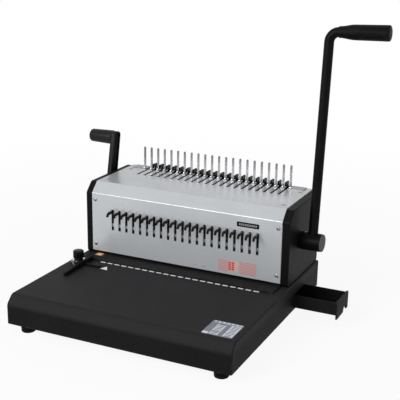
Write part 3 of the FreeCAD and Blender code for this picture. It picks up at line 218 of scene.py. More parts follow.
foot_rim = 1.6 * mm             # radius of its rounded rims
foot_taper = 0.9 * mm           # how much smaller the sole's radius is than the top's
foot_hollow = 6.5 * mm          # radius of the hollow
foot_recess = 3.0 * mm          # depth of the hollow


def rubber(name, colour, roughness=0.62, grain=0.4 * mm):
    """Matt rubber: a fine spark-eroded grain, and dust that lies in cloudy patches."""
    material, shader, place = even_finish(name, colour, roughness, specular=0.06)
    dust = noise(place, 9 * mm, detail=4.0).above(0.5, 0.35)
    pits = noise(place, grain, detail=1.0)
    place.feed(shader, "Base Color", (dust * 0.25).blend(colour, tone(56, 55, 54)))
    place.feed(shader, "Roughness", roughness + dust * 0.15)
    bump(shader, pits, 0.04 * mm)
    return material


def joined(name, points, faces, crease=40):
    """A piece from points and faces, with coinciding points merged, faces turned outwards, and edges
    sharper than crease degrees kept sharp."""
    mesh = bpy.data.meshes.new(name)
    mesh.from_pydata(points.tolist(), [], faces)
    shape = bmesh.new()
    shape.from_mesh(mesh)
    bmesh.ops.remove_doubles(shape, verts=shape.verts, dist=0.001 * mm)
    bmesh.ops.recalc_face_normals(shape, faces=shape.faces)
    shape.to_mesh(mesh)
    shape.free()
    mesh.polygons.foreach_set("use_smooth", np.ones(len(mesh.polygons), bool))
    mesh.set_sharp_from_angle(angle=math.radians(crease))
    piece = bpy.data.objects.new(name, mesh)
    bpy.context.scene.collection.objects.link(piece)
    return piece


def skin(name, points, round_v=False, crease=40):
    """A piece from a grid of points over (u, v): each four neighbours make a face, and round_v joins the
    last column to the first. Points that fall together, such as at a pole, are merged."""
    rows, columns = points.shape[:2]
    index = np.arange(rows * columns).reshape(rows, columns)
    u, v = np.meshgrid(np.arange(rows - 1), np.arange(columns - (not round_v)), indexing="ij")
    v_next = (v + 1) % columns
    corners = [index[u, v], index[u + 1, v], index[u + 1, v_next], index[u, v_next]]
    return joined(name, points.reshape(-1, 3), np.stack(corners, axis=-1).reshape(-1, 4).tolist(), crease)


def rounded(along, out, radius, turn):
    """Profile points of a quarter round about the centre (along, out), from 0 to 90 degrees:
    along + turn[0] * radius * sin(angle), out + turn[1] * radius * cos(angle)."""
    angle = np.linspace(0, math.pi / 2, 7)
    ahead, aside = radius * turn[0] * np.sin(angle), radius * turn[1] * np.cos(angle)
    return np.stack([along + ahead, out + aside], axis=1)


def turned(name, profile, centre, axis, steps=48, ribs=0, rib_depth=0.0, ribbed=(0, 0)):
    """A turned piece: a profile (along, radius) is carried round the axis through the centre. Between the
    two ribbed heights the radius is less by rib_depth * (1 - |cos(ribs * angle / 2)|), which leaves
    rounded ribs."""
    axis = np.asarray(axis, float) / np.linalg.norm(axis)
    side = np.cross(axis, (0, 1, 0) if abs(axis[1]) < 0.9 else (1, 0, 0))
    side /= np.linalg.norm(side)
    third = np.cross(axis, side)
    angle = np.linspace(0, 2 * math.pi, steps, endpoint=False)
    along, radius = profile[:, :1], np.repeat(profile[:, 1:], steps, axis=1)
    in_band = (along >= ribbed[0]) & (along <= ribbed[1])
    radius = radius - in_band * rib_depth * (1 - np.abs(np.cos(ribs * angle / 2)))
    out = np.cos(angle)[:, None] * side + np.sin(angle)[:, None] * third
    points = np.asarray(centre) + along[:, :, None] * axis + radius[:, :, None] * out
    return skin(name, points, round_v=True)


def keep(piece, material, slot, body, *nodes):
    """Finish a piece: its material, the body it rides on and the CAD nodes it stands for. The slot is not
    used.
    """
    piece.data.materials.append(material)
    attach(piece, body)
    if nodes:
        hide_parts(*nodes)


foot_rubber = rubber("foot_rubber", tone(6, 6, 7))
for end in ("front", "rear"):
    for side in ("left", "right"):
        node = f"foot_{end}_{side}"
        low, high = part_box(node)
        centre = ((low.x + high.x) / 2, (low.y + high.y) / 2, 0)
        top_radius = (high.x - low.x) / 2
        sole_radius = top_radius - foot_taper
        hollow = [
            (foot_recess, 0), (foot_recess, foot_hollow - foot_rim),
            (foot_recess, foot_hollow), (0, foot_hollow)]
        sole = rounded(foot_rim, sole_radius - foot_rim, foot_rim, (-1, 1))[::-1]
        rim = rounded(high.z - foot_rim, top_radius - foot_rim, foot_rim, (1, 1))
        profile = np.concatenate([hollow, sole, rim, [(high.z, 0)]])
        foot = turned(node + "_rubber", profile, centre, (0, 0, 1))
        keep(foot, foot_rubber, "rubber", "frame", node)


# ---- side cheeks ---------------------------------------------------------------------------------
# Two moulded black cheeks that carry the shafts. The plastic has a fine eroded grain, and its rounded
# edges shine a little.


def moulded(name, dark, light, roughness=0.42, specular=0.06, grain=0.5 * mm, depth=0.03 * mm):
    """Moulded plastic: an even eroded grain, faint flow clouds and a little dust in the colour."""
    material, shader, place = even_finish(name, dark, roughness, specular=specular)
    flow = noise(place, 45 * mm)
    skin_grain = noise(place, grain, detail=1.0)
    dust = noise(place, 3 * mm, detail=3.0).above(0.58, 0.25)
    place.feed(shader, "Base Color", (flow.above(0.35, 0.3) * 0.8 + dust * 0.2).clamped().blend(dark, light))
    place.feed(shader, "Roughness", roughness + (skin_grain - 0.5) * 0.14 + dust * 0.08)
    bump(shader, skin_grain, depth)
    return material


cheek_plastic = moulded("cheek_plastic", tone(10, 10, 11), tone(16, 16, 17), 0.5)
dress(cheek_plastic, "cheek_left", "cheek_right")


# ---- silver cover --------------------------------------------------------------------------------
# The cover is folded from sheet steel and sprayed silver: fine flakes in a smooth satin lacquer, a
# little orange peel, and faint wipe marks. The flat rear panel is sprayed with it.

cover_low, cover_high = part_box("front_cover")


def silver_lacquer(name, colour, shadow, box):
    """Silver spray: flakes of two tones 0.35 mm wide, slow clouds, paler worn edges, wipe marks in the
    gloss, and orange peel."""
    material, shader, place = even_finish(name, colour, 0.26, 0.25)
    flakes = noise(place, 0.35 * mm, detail=1.0)
    cloud = noise(place, 60 * mm, detail=3.0)
    wipes = noise(place, 5 * mm, detail=3.0, stretch=(14, 1, 1.5))
    peel = noise(place, 1.6 * mm, detail=1.0)
    edge_mark = box_edge_mask(place, *box, 1.5 * mm) * noise(place, 4 * mm, detail=3.0).above(0.5, 0.2)
    mixed = (flakes.above(0.42, 0.25) * 0.3 + cloud.above(0.35, 0.4) * 0.25).blend(colour, shadow)
    place.feed(shader, "Base Color", (edge_mark * 0.35).blend(mixed, tone(150, 152, 156)))
    place.feed(shader, "Roughness", 0.27 + wipes * 0.04 + (cloud - 0.5) * 0.06)
    bump(shader, peel, 0.01 * mm)
    return material


silver = silver_lacquer("silver_lacquer", tone(190, 193, 196), tone(168, 171, 175), (cover_low, cover_high))
dress(silver, "front_cover", "rear_panel")


# ---- cover screws --------------------------------------------------------------------------------
# Eight nickel-plated screws with a cross recess: domed heads hold the cover's front, low cheese heads
# hold its top.

head_radius = 3.8 * mm
shank_radius = 2 * mm
front_recess = 1.3 * mm
top_recess = 0.6 * mm
top_rim = 0.5 * mm           # height of a cheese head's straight side
recess_arm = 0.62            # reach of the cross as a share of the head's radius
recess_half = 0.16           # half width of an arm, likewise
recess_side = 0.05           # width of the slope at an arm's sides, likewise
recess_end = 0.08            # length of the slope at its end, likewise
recess_rise = 0.55           # share of the depth that is lost towards an arm's end


def plated(name, colour, roughness, stretch=(1, 1, 1), streak=0.25 * mm, depth=0.01 * mm):
    """Bright metal: fine streaks along the stretch, cloudy tarnish, and gloss that changes with both."""
    material, shader, place = even_finish(name, colour, roughness, metallic=1.0)
    streaks = noise(place, streak, stretch=stretch)
    tarnish = noise(place, 7 * mm, detail=4.0).above(0.45, 0.4)
    dull = tuple(part * 0.62 for part in colour[:3]) + (1.0,)
    place.feed(shader, "Base Color", (tarnish * 0.35 + streaks.above(0.4, 0.3) * 0.2).blend(colour, dull))
    place.feed(shader, "Roughness", roughness + tarnish * 0.12 + (streaks - 0.5) * 0.2)
    bump(shader, streaks, depth)
    return material


def screw_head(centre, axis, dome, cross_deep, rim):
    """Head of a cross-recessed screw: height = rim + (dome - rim) * sqrt(1 - share squared) over its disc,
    less the recess, whose depth falls from the middle to the ends of two crossing arms."""
    share = np.concatenate([np.linspace(0, 0.8, 17), np.linspace(0.83, 1, 8)])
    angle = np.linspace(0, 2 * math.pi, 72, endpoint=False)
    share, angle = np.meshgrid(share, angle, indexing="ij")
    u, v = share * np.cos(angle), share * np.sin(angle)
    height = rim + (dome - rim) * np.sqrt(np.clip(1 - share ** 2, 0, 1))
    reach = np.maximum(np.abs(u), np.abs(v))
    off = np.minimum(np.abs(u), np.abs(v))
    inside = np.clip((recess_half - off) / recess_side, 0, 1)
    inside = inside * np.clip((recess_arm - reach) / recess_end, 0, 1)
    height = height - cross_deep * inside * (1 - recess_rise * reach / recess_arm)
    axis = np.asarray(axis, float)
    side = np.cross(axis, (0.0, 0.0, 1.0) if abs(axis[2]) < 0.9 else (0.0, 1.0, 0.0))
    third = np.cross(axis, side)
    points = (u[..., None] * side + v[..., None] * third) * head_radius + height[..., None] * axis
    wall = points[-1] - height[-1][:, None] * axis
    base = np.zeros_like(wall)
    points = np.concatenate([points, wall[None], base[None]]) + np.asarray(centre)
    return skin("screw_head", points, round_v=True)


def together(name, pieces):
    """Several meshes made one piece."""
    shape = bmesh.new()
    for piece in pieces:
        shape.from_mesh(piece.data)
        bpy.data.objects.remove(piece)
    mesh = bpy.data.meshes.new(name)
    shape.to_mesh(mesh)
    shape.free()
    mesh.set_sharp_from_angle(angle=math.radians(40))
    piece = bpy.data.objects.new(name, mesh)
    bpy.context.scene.collection.objects.link(piece)
    return piece


def screw_set(name, spots, out, dome, long, cross_deep, rim=0.0):
    """Screws as one piece: at each spot a head that stands dome high, and a plain shank inwards."""
    shank = np.array([(0, 0), (0, shank_radius), (long, shank_radius), (long, 0)])
    parts = []
    for spot in spots:
        parts.append(screw_head(spot, out, dome, cross_deep, rim))
        parts.append(turned("screw_shank", shank, spot, -np.array(out), 16))
    return together(name, parts)


nickel = plated("nickel_plate", tone(156, 156, 158), 0.24)
low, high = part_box("cover_front_screws")
heads_x, heads_z = (low.x + head_radius, high.x - head_radius), (low.z + head_radius, high.z - head_radius)
spots = [(x, cover_low.y, z) for x in heads_x for z in heads_z]
front_screws = screw_set(
    "cover_front_screw_set", spots, (0, -1, 0), cover_low.y - low.y, high.y - cover_low.y, front_recess)
keep(front_screws, nickel, "nickel", "frame", "cover_front_screws")
low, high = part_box("cover_top_screws")
heads_x, heads_y = (low.x + head_radius, high.x - head_radius), (low.y + head_radius, high.y - head_radius)
spots = [(x, y, cover_high.z) for x in heads_x for y in heads_y]
top_screws = screw_set(
    "cover_top_screw_set", spots, (0, 0, 1), high.z - cover_high.z, cover_high.z - low.z, top_recess, top_rim)
keep(top_screws, nickel, "nickel", "frame", "cover_top_screws")


# ---- die set -------------------------------------------------------------------------------------
# Two ground steel plates with a row of rectangular holes, spacers and a stop between them, and the
# bolts and guide posts that hold them. The lower plate is blackened. The rest is bare steel, like the
# square bars that the cover is screwed to.

ground = plated("ground_steel", tone(176, 177, 178), 0.3, (12, 1, 1))
# Its edges are painted paler as a painted edge highlight, like the base's.
die_black = powder_coat(
    "blackened_plate", tone(15, 15, 16), tone(21, 21, 22), tone(60, 60, 62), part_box("lower_die_plate"),
    bead=0.5 * mm)
dress(die_black, "lower_die_plate")
dress(ground, "upper_guide_plate", "throat_spacer_left", "throat_spacer_right", "paper_stop")
dress(ground, "guide_post_left", "guide_post_right", "cover_bars")
dress(nickel, "die_bolts")


# ---- shafts, bushes and pinions ------------------------------------------------------------------
# Two turned steel shafts that run in bronze bushes in the cheeks, each with a pair of cut steel pinions.
# Oil darkens the steel.

turned_steel = plated("turned_steel", tone(150, 150, 150), 0.28, (1, 8, 8))
bronze = plated("bronze", tone(176, 134, 84), 0.34)
dress(turned_steel, "main_shaft", "comb_shaft")
dress(turned_steel, "main_pinion_left", "main_pinion_right", "comb_pinion_left", "comb_pinion_right")
dress(bronze, "main_bush_left", "main_bush_right", "comb_bush_left", "comb_bush_right")


# ---- punch lever ---------------------------------------------------------------------------------
# A round steel bar bent outwards at its top, painted satin black, clamped in a black hub with a grey
# cap. A rubber grip with a slim neck and a flat, soft-edged end is pushed over the bar.

lever_lean = math.radians(5.3)
bend_high = 357.89 * mm         # from the shaft up the bar to the grip's level
grip_rise = math.radians(1.9)
grip_long = 84.8 * mm
grip_neck = 9.6 * mm            # radius at the inner end
grip_belly = 12.7 * mm          # and where the neck ends
grip_end = 13.2 * mm            # and at the outer end
grip_swell = 27 * mm            # length of the neck
grip_edge = 3 * mm


def satin_paint(name, dark, light, roughness=0.36):
    """Satin paint on bar stock: clouds in colour and gloss, small pale nicks, and a fine peel in relief."""
    material, shader, place = even_finish(name, dark, roughness, specular=0.06)
    cloud = noise(place, 30 * mm, detail=3.0)
    nicks = noise(place, 2.2 * mm).above(0.68, 0.08)
    peel = noise(place, 1.1 * mm, detail=1.0)
    place.feed(shader, "Base Color", (cloud.above(0.4, 0.3) * 0.6 + nicks * 0.4).clamped().blend(dark, light))
    place.feed(shader, "Roughness", roughness + (cloud - 0.5) * 0.16 + nicks * 0.1)
    bump(shader, peel, 0.025 * mm)
    return material


bar_paint = satin_paint("lever_paint", tone(9, 9, 10), tone(16, 16, 17), 0.42)
dress(bar_paint, "lever_bar", "lever_hub")
cap_grey = moulded("hub_cap_plastic", tone(84, 85, 87), tone(98, 99, 101), 0.5)
dress(cap_grey, "hub_cap")
dress(turned_steel, "hub_set_screw")

grip_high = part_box("lever_grip")[1]
shaft_low, shaft_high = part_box("main_shaft")
rise_sine, rise_cosine = math.sin(grip_rise), math.cos(grip_rise)
lean_sine, lean_cosine = math.sin(lever_lean), math.cos(lever_lean)
grip_axis = np.array([rise_cosine, rise_sine * lean_sine, rise_sine * lean_cosine])
end_reach = rise_cosine * (grip_long - grip_edge)
end_across = rise_sine * (grip_end - grip_edge) + grip_edge
grip_root = np.array([
    grip_high.x - end_reach - end_across,
    (shaft_low.y + shaft_high.y) / 2 + bend_high * lean_sine,
    (shaft_low.z + shaft_high.z) / 2 + bend_high * lean_cosine,
])
share = np.linspace(0, 1, 20)
neck_radius = grip_neck + (grip_belly - grip_neck) * (1 - np.cos(math.pi * share)) / 2
neck = np.stack([grip_swell * share, neck_radius], axis=1)
grip_tip = rounded(grip_long - grip_edge, grip_end - grip_edge, grip_edge, (1, 1))
profile = np.concatenate([[(0, 0)], neck, grip_tip, [(grip_long, 0)]])
grip = turned("lever_grip_rubber", profile, grip_root, grip_axis, steps=64)
keep(grip, rubber("grip_rubber", tone(10, 10, 11), 0.5), "rubber", "punch_lever", "lever_grip")


# ---- punch unit ----------------------------------------------------------------------------------
# A bare steel beam that carries the row of punches, its racks and lifting springs, and the black
# selector tabs whose hooks stand out of the front slots.

black_oxide = plated("black_oxide", tone(28, 27, 25), 0.38)
dress(ground, "punch_beam", "punches", "punch_rack_left", "punch_rack_right", "selector_strip")
dress(black_oxide, "selector_tabs")


# ---- return springs ------------------------------------------------------------------------------
# Coil springs of hard-drawn wire round the two guide posts, with closed end coils. They stand on the
# guide plate under the beam. In the machine they close up as the beam comes down; here they keep their
# shape and ride with the punch unit.

wire_radius = 0.75 * mm
spring_turns = 6.0
end_turns = 0.7                 # turns at each end that lie closed
closed_pitch = 2.04 * wire_radius


def capped(name, points, crease=40):
    """A piece from a grid of rings, with its first and last ring closed by a fan to the ring's middle."""
    middles = points[[0, -1]].mean(axis=1, keepdims=True)
    caps = np.repeat(middles, points.shape[1], axis=1)
    return skin(name, np.concatenate([caps[:1], points, caps[1:]]), round_v=True, crease=crease)


def coil(name, centre, low, high, radius, steps=26, round_wire=12):
    """A coil spring: the wire's centre turns about the axis, and its height is the integral of a pitch,
    closed_pitch + c * smooth(turns from the nearer end - end_turns), with smooth(t) = t * t * (3 - 2 * t)
    from 0 to 1. The factor c makes the coil reach from low to high."""
    turns = np.linspace(0, spring_turns, int(steps * spring_turns) + 1)
    inside = np.clip(np.minimum(turns, spring_turns - turns) - end_turns, 0, 1)
    opening = inside * inside * (3 - 2 * inside)
    step = np.diff(turns)
    mean = (opening[1:] + opening[:-1]) / 2
    spare = high - low - 2 * wire_radius - closed_pitch * spring_turns
    rise = step * (closed_pitch + mean * spare / np.sum(step * mean))
    height = np.concatenate([[0], np.cumsum(rise)])
    angle = 2 * math.pi * turns
    up = np.array([0, 0, 1])
    out = np.stack([np.cos(angle), np.sin(angle), np.zeros(len(angle))], axis=1)
    path = np.asarray(centre) + radius * out + (low + wire_radius + height)[:, None] * up
    around = np.linspace(0, 2 * math.pi, round_wire, endpoint=False)
    ring = np.cos(around)[:, None] * out[:, None] + np.sin(around)[:, None] * up
    return capped(name, path[:, None] + wire_radius * ring, crease=60)


spring_steel = plated("spring_steel", tone(160, 160, 158), 0.25)
for side in ("left", "right"):
    low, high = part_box(f"return_spring_{side}")
    centre = ((low.x + high.x) / 2, (low.y + high.y) / 2, 0)
    spring = coil(f"{side}_coil", centre, low.z, high.z, (high.x - low.x) / 2 - wire_radius)
    keep(spring, spring_steel, "bright_steel", "punch_unit", f"return_spring_{side}")
    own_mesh(spring)


# ---- comb opener ---------------------------------------------------------------------------------
# A slotted strip with a row of bright bent tines that hold the comb, each with a polished rivet at its
# foot, and a sliding row of dark hooks that pull the comb's rings open.

hole_pitch = 14.2875 * mm       # 9/16 inch, the pitch of plastic combs
tine_count = 22
rivet_radius = 2.2 * mm
rivet_tall = 1.8 * mm
rivet_seat = 3.0 * mm           # from the strip's underside up to the rivets

tine_steel = plated("tine_steel", tone(124, 124, 126), 0.2, (1, 1, 10))
dress(tine_steel, "comb_tine_plate")
strip_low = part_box("comb_tine_plate")[0]
bend = np.linspace(0, math.pi / 2, 8)
dome = np.stack([rivet_tall * np.sin(bend), rivet_radius * np.cos(bend)], axis=1)
rivet_profile = np.concatenate([[(0, 0)], dome])
rivets = []
for x in mid_x + (np.arange(tine_count) - (tine_count - 1) / 2) * hole_pitch:
    spot = (x, strip_low.y + rivet_radius, strip_low.z + rivet_seat)
    rivets.append(turned("rivet", rivet_profile, spot, (0, 0, 1), steps=20))
rivet_steel = plated("polished_rivet", tone(250, 250, 250), 0.12)
keep(together("tine_rivets", rivets), rivet_steel, "bright_steel", "frame")
hook_black = plated("hook_black", tone(11, 11, 11), 0.45)
dress(hook_black, "comb_hooks")
dress(ground, "hook_carriage", "comb_rack_left", "comb_rack_right")
dress(ground, "carriage_rail_left", "carriage_rail_right")


# ---- crank ---------------------------------------------------------------------------------------
# One moulding of satin black plastic, clamped on the comb shaft by a steel bolt. Its flat arm is hollow
# on the side towards the machine, where a near-black strip in the hollow is painted shade, and a plain
# round grip stands out.

crank_lean = math.radians(11.2)
crank_long = 132 * mm           # from the shaft to the grip's axis
arm_thick = 9.5 * mm
arm_half = 11.8 * mm            # half the arm's width
arm_foot = 13.8 * mm            # radius of the arm's lower end
arm_over = 12.6 * mm            # the arm's top, past the grip's axis
arm_round = 1.8 * mm
arm_corner = 7 * mm
hollow_deep = 3 * mm
hollow_rim = 0.9 * mm
hollow_draft = 0.4 * mm
strip_gap = 0.1 * mm            # between the strip and the hollow's floor
strip_thick = 0.5 * mm
hub_radius = 13.4 * mm
hub_edge = 0.8 * mm
hub_lead = 1 * mm               # length of the bevel at the hub's inner end
hub_inner = 3 * mm              # how far the hub stands out of the arm's inner side
hub_outer = 13 * mm             # from the arm's inner side to the hub's outer end
grip_near, grip_far = 13.6 * mm, 12.4 * mm
grip_out = 58.5 * mm
grip_soft = 4.5 * mm
grip_sunk = 1 * mm              # how deep the grip's root starts inside the arm
plug_radius = 8 * mm            # the part of the grip inside the arm
plug_off = 2 * mm               # from the hollow's floor to its end


def belted(name, circles, levels, steps=96):
    """A moulding whose plan is a belt round circles (x, y, radius): for each direction the outermost circle
    gives the point centre + (radius - inset) * direction. Each level is an inset and a height, listed from
    one end of the piece to the other, and both ends are closed."""
    angle = np.linspace(0, 2 * math.pi, steps, endpoint=False)
    way = np.stack([np.cos(angle), np.sin(angle)], axis=1)
    circles, levels = np.asarray(circles), np.asarray(levels)
    outermost = np.argmax(way @ circles[:, :2].T + circles[:, 2], axis=1)
    centre, radius = circles[outermost, :2], circles[outermost, 2]
    flat = centre + (radius - levels[:, :1])[..., None] * way
    height = np.broadcast_to(levels[:, 1:], flat.shape[:2])
    return capped(name, np.concatenate([flat, height[..., None]], axis=-1), crease=30)


crank_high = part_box("crank_handle")[1]
shaft_low, shaft_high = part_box("comb_shaft")
crank_foot = (crank_high.x - hub_inner, (shaft_low.y + shaft_high.y) / 2, (shaft_low.z + shaft_high.z) / 2)
lean_sine, lean_cosine = math.sin(crank_lean), math.cos(crank_lean)

# The crank is worked out lying flat, with its arm along y and its grip along z, and then turned.
crank_place = Matrix((
    (0, 0, -1, crank_foot[0]),
    (-lean_cosine, lean_sine, 0, crank_foot[1]),
    (lean_sine, lean_cosine, 0, crank_foot[2]),
    (0, 0, 0, 1),
))
arm_top = crank_long + arm_over - arm_corner
arm_circles = [(0, 0, arm_foot)] + [(side * (arm_half - arm_corner), arm_top, arm_corner) for side in (-1, 1)]
hollow_in = arm_round + hollow_rim
hollow = [(hollow_in, hollow_deep), (hollow_in - hollow_draft, 0)]
bend = np.linspace(0, math.pi / 2, 6)
soft_in, soft_up = arm_round * (1 - np.sin(bend)), arm_round * (1 - np.cos(bend))
inner_edge = np.stack([soft_in, soft_up], axis=1)
outer_edge = np.stack([soft_in, arm_thick - soft_up], axis=1)[::-1]
arm = belted("crank_arm", arm_circles, np.concatenate([hollow, inner_edge, outer_edge]))
strip_top = hollow_deep - strip_gap
# The strip is a near-black sheet that stands in for the shade inside the hollow: painted shade.
strip = belted("crank_strip", arm_circles, [(hollow_in, strip_top - strip_thick), (hollow_in, strip_top)])
plug_start = hollow_deep + plug_off
root_start = arm_thick - grip_sunk
plug = [(plug_start, 0), (plug_start, plug_radius), (root_start, plug_radius)]
root = rounded(root_start + arm_round, grip_near - arm_round, arm_round, (-1, 1))[::-1]
grip_tip = rounded(grip_out - grip_soft, grip_far - grip_soft, grip_soft, (1, 1))
profile = np.concatenate([plug, root, grip_tip, [(grip_out, 0)]])
handgrip = turned("crank_grip", profile, (0, crank_long, 0), (0, 0, 1), steps=64)
hub_profile = np.array([
    (-hub_inner, 0), (-hub_inner, hub_radius - hub_edge), (hub_lead - hub_inner, hub_radius),
    (hub_outer - hub_edge, hub_radius), (hub_outer, hub_radius - hub_edge), (hub_outer, 0)])
hub = turned("crank_hub", hub_profile, (0, 0, 0), (0, 0, 1), steps=64)
crank = together("crank_moulding", [arm, handgrip, hub])
for piece in (crank, strip):
    piece.data.transform(crank_place)
    piece.data.update()
crank_plastic = moulded("crank_plastic", tone(27, 27, 28), tone(36, 36, 37), 0.34, 0.08)
keep(crank, crank_plastic, "black_moulding", "comb_crank", "crank_handle")
keep(strip, rubber("crank_painted_shade_black", tone(3, 3, 3)), "black_moulding", "comb_crank")
dress(turned_steel, "crank_bolt")


# ---- chip drawer ---------------------------------------------------------------------------------
# An open tray of black-painted sheet that stands out of the right wall, with a face plate notched for
# a finger, sliding between two plain angles.

# Its edges are painted paler as a painted edge highlight, like the base's.
drawer_paint = powder_coat(
    "drawer_paint", tone(9, 9, 10), tone(15, 15, 16), tone(82, 82, 85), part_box("drawer_face"))
dress(drawer_paint, "chip_drawer", "drawer_face")
galvanised = plated("galvanised", tone(150, 153, 156), 0.42, streak=4 * mm)
dress(galvanised, "drawer_rail_front", "drawer_rail_rear")


# ---- edge guide ----------------------------------------------------------------------------------
# A long matt fence with a low arm across it, and a glossy black bracket that carries them: drafted,
# rounded about the knob and running out along the fence. A steel washer lies on the bracket.

guide_low, guide_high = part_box("edge_guide")
knob_low, knob_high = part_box("clamp_knob")
knob_spot = np.array([(knob_low.x + knob_high.x) / 2, (knob_low.y + knob_high.y) / 2])
guide_foot = guide_low.z
fence_x = knob_spot[0] + 14 * mm
fence_wide = 6 * mm
fence_front = 6.6 * mm          # height at its front end
arm_y = knob_spot[1] - 3 * mm
arm_long = 33 * mm
arm_wide = 7 * mm
arm_tall = 3.6 * mm
bracket_tall = 6.4 * mm
bracket_draft = 0.8 * mm
bracket_soft = 1.6 * mm
bracket_boss = 14.5 * mm        # radius about the knob
bracket_tip = 3 * mm            # radius of its two tips
tip_x = fence_x - 0.5 * mm
tip_rear = knob_spot[1] + 13.5 * mm
tip_front = knob_spot[1] - 31 * mm
washer_foot = guide_foot + bracket_tall + 0.03 * mm
washer_top = washer_foot + 0.24 * mm
washer_hole = 3.3 * mm
washer_radius = 11.7 * mm


def soft_square(corner, steps=32):
    """Soft-cornered unit square, a superellipse: u = sign(cos t) * |cos t|^(2 / corner), v by the sine."""
    angle = np.linspace(0, 2 * math.pi, steps, endpoint=False) + math.pi / steps
    u = np.sign(np.cos(angle)) * np.abs(np.cos(angle)) ** (2 / corner)
    v = np.sign(np.sin(angle)) * np.abs(np.sin(angle)) ** (2 / corner)
    return u, v


def moulded_bar(name, start, end, wide, foot, tall, corner=7, soft=1.2 * mm):
    """A bar with soft edges from start to end: at each station a soft square, wide across and from its foot
    up to a height that rises from tall[0] at the start to tall[1] at half the length. Towards its ends it
    shrinks by soft * (1 - sqrt(1 - (1 - d / soft)^2)), d being the distance from the end."""
    start, end = np.asarray(start), np.asarray(end)
    length = np.linalg.norm(end - start)
    d = soft * (1 - np.cos(np.linspace(0, math.pi / 2, 6)))
    along = np.concatenate([d, np.linspace(soft, length - soft, 12)[1:-1], length - d[::-1]])
    near = np.clip(np.minimum(along, length - along) / soft, 0, 1)
    shrink = soft * (1 - np.sqrt(1 - (1 - near) ** 2))
    way = (end - start) / length
    across = np.array([-way[1], way[0]])
    high = tall[0] + (tall[1] - tall[0]) * np.clip(2 * along / length, 0, 1)
    u, v = soft_square(corner)
    flat = start + along[:, None, None] * way + ((wide / 2 - shrink)[:, None] * u)[..., None] * across
    height = foot + (high / 2)[:, None] + (high / 2 - shrink)[:, None] * v
    return capped(name, np.concatenate([flat, height[..., None]], axis=-1))


bracket_plastic = moulded("bracket_plastic", tone(12, 12, 13), tone(19, 19, 20), 0.16, 0.42)
bracket_circles = [
    (*knob_spot, bracket_boss), (tip_x, tip_rear, bracket_tip), (tip_x, tip_front, bracket_tip)]
bend = np.linspace(0, math.pi / 2, 6)
edge_in = bracket_draft + bracket_soft * (1 - np.cos(bend))
edge_up = bracket_tall - bracket_soft * (1 - np.sin(bend))
bracket_levels = np.concatenate([[(0, 0)], np.stack([edge_in, edge_up], axis=1)]) + np.array([0, guide_foot])
bracket = belted("guide_bracket", bracket_circles, bracket_levels)
keep(bracket, bracket_plastic, "black_moulding", "paper_guide")

fence_plastic = moulded("fence_plastic", tone(15, 15, 16), tone(23, 23, 24), 0.5)
fence = moulded_bar(
    "fence", (fence_x, guide_low.y), (fence_x, guide_high.y), fence_wide, guide_foot,
    (fence_front, guide_high.z - guide_foot))
arm = moulded_bar(
    "arm", (fence_x, arm_y), (fence_x + arm_long, arm_y), arm_wide, guide_foot, (arm_tall, arm_tall))
keep(together("fence_and_arm", [fence, arm]), fence_plastic, "black_moulding", "paper_guide", "edge_guide")

washer = np.array([
    (washer_foot, washer_hole), (washer_foot, washer_radius), (washer_top, washer_radius),
    (washer_top, washer_hole), (washer_foot, washer_hole)])
knob_washer = turned("knob_washer", washer, (*knob_spot, 0), (0, 0, 1), steps=72)
keep(knob_washer, plated("washer_steel", tone(214, 214, 214), 0.16), "bright_steel", "paper_guide")


# ---- guide knob ----------------------------------------------------------------------------------
# A moulded black knob with a soft crown, ribbed above a plain collar. Its stud passes the bracket and a
# slot in the table to a round nut below.

knob_radius = (knob_high.x - knob_low.x) / 2
knob_foot = knob_high.z - 18 * mm
knob_dome = 2.5 * mm            # height of the soft crown, which comes in twice as far
knob_ribs = 24
rib_deep = 0.5 * mm
rib_foot = knob_foot + 4 * mm
rib_top = knob_high.z - 0.5 * mm
collar_in = 1.5 * mm            # how much smaller the plain collar under the ribs is
collar_tall = 3 * mm
shoulder_in = 0.3 * mm          # bevel from the collar out to the ribs
shoulder_tall = 0.5 * mm
stud_radius = 3 * mm
nut_radius = 7 * mm
nut_tall = 5 * mm
nut_edge = 0.6 * mm

bend = np.linspace(0, math.pi / 2, 9)
crown_up = knob_high.z - knob_dome * (1 - np.sin(bend))
crown = np.stack([crown_up, knob_radius - knob_dome * 2 * (1 - np.cos(bend))], axis=1)
profile = np.concatenate([
    [(knob_low.z, 0), (knob_low.z, nut_radius - nut_edge), (knob_low.z + nut_edge, nut_radius)],
    [(knob_low.z + nut_tall, nut_radius), (knob_low.z + nut_tall, stud_radius), (knob_foot, stud_radius)],
    [(knob_foot, knob_radius - collar_in), (knob_foot + collar_tall, knob_radius - collar_in)],
    [(rib_foot, knob_radius - shoulder_in), (rib_foot + shoulder_tall, knob_radius)],
    crown,
    [(knob_high.z, 0)],
])
knob_plastic = moulded("knob_plastic", tone(9, 9, 10), tone(15, 15, 16), 0.28, 0.12)
knob = turned(
    "clamp_knob_ribbed", profile, (*knob_spot, 0), (0, 0, 1), steps=192, ribs=knob_ribs, rib_depth=rib_deep,
    ribbed=(rib_foot, rib_top))
keep(knob, knob_plastic, "black_moulding", "clamp", "clamp_knob")


# ---- printed marks -------------------------------------------------------------------------------
# White screen-printed marks on the table, a few hundredths of a millimetre thick: a row of dashes that
# shows where each hole falls, and a pointer.

print_thick = 0.05 * mm
dash_y = 6.4 * mm
dash_size = (10.2 * mm, 5.0 * mm)
pointer_corners = np.array([(-131.8, -23.8), (-125.4, -10.3), (-116.4, -25.2)]) * mm


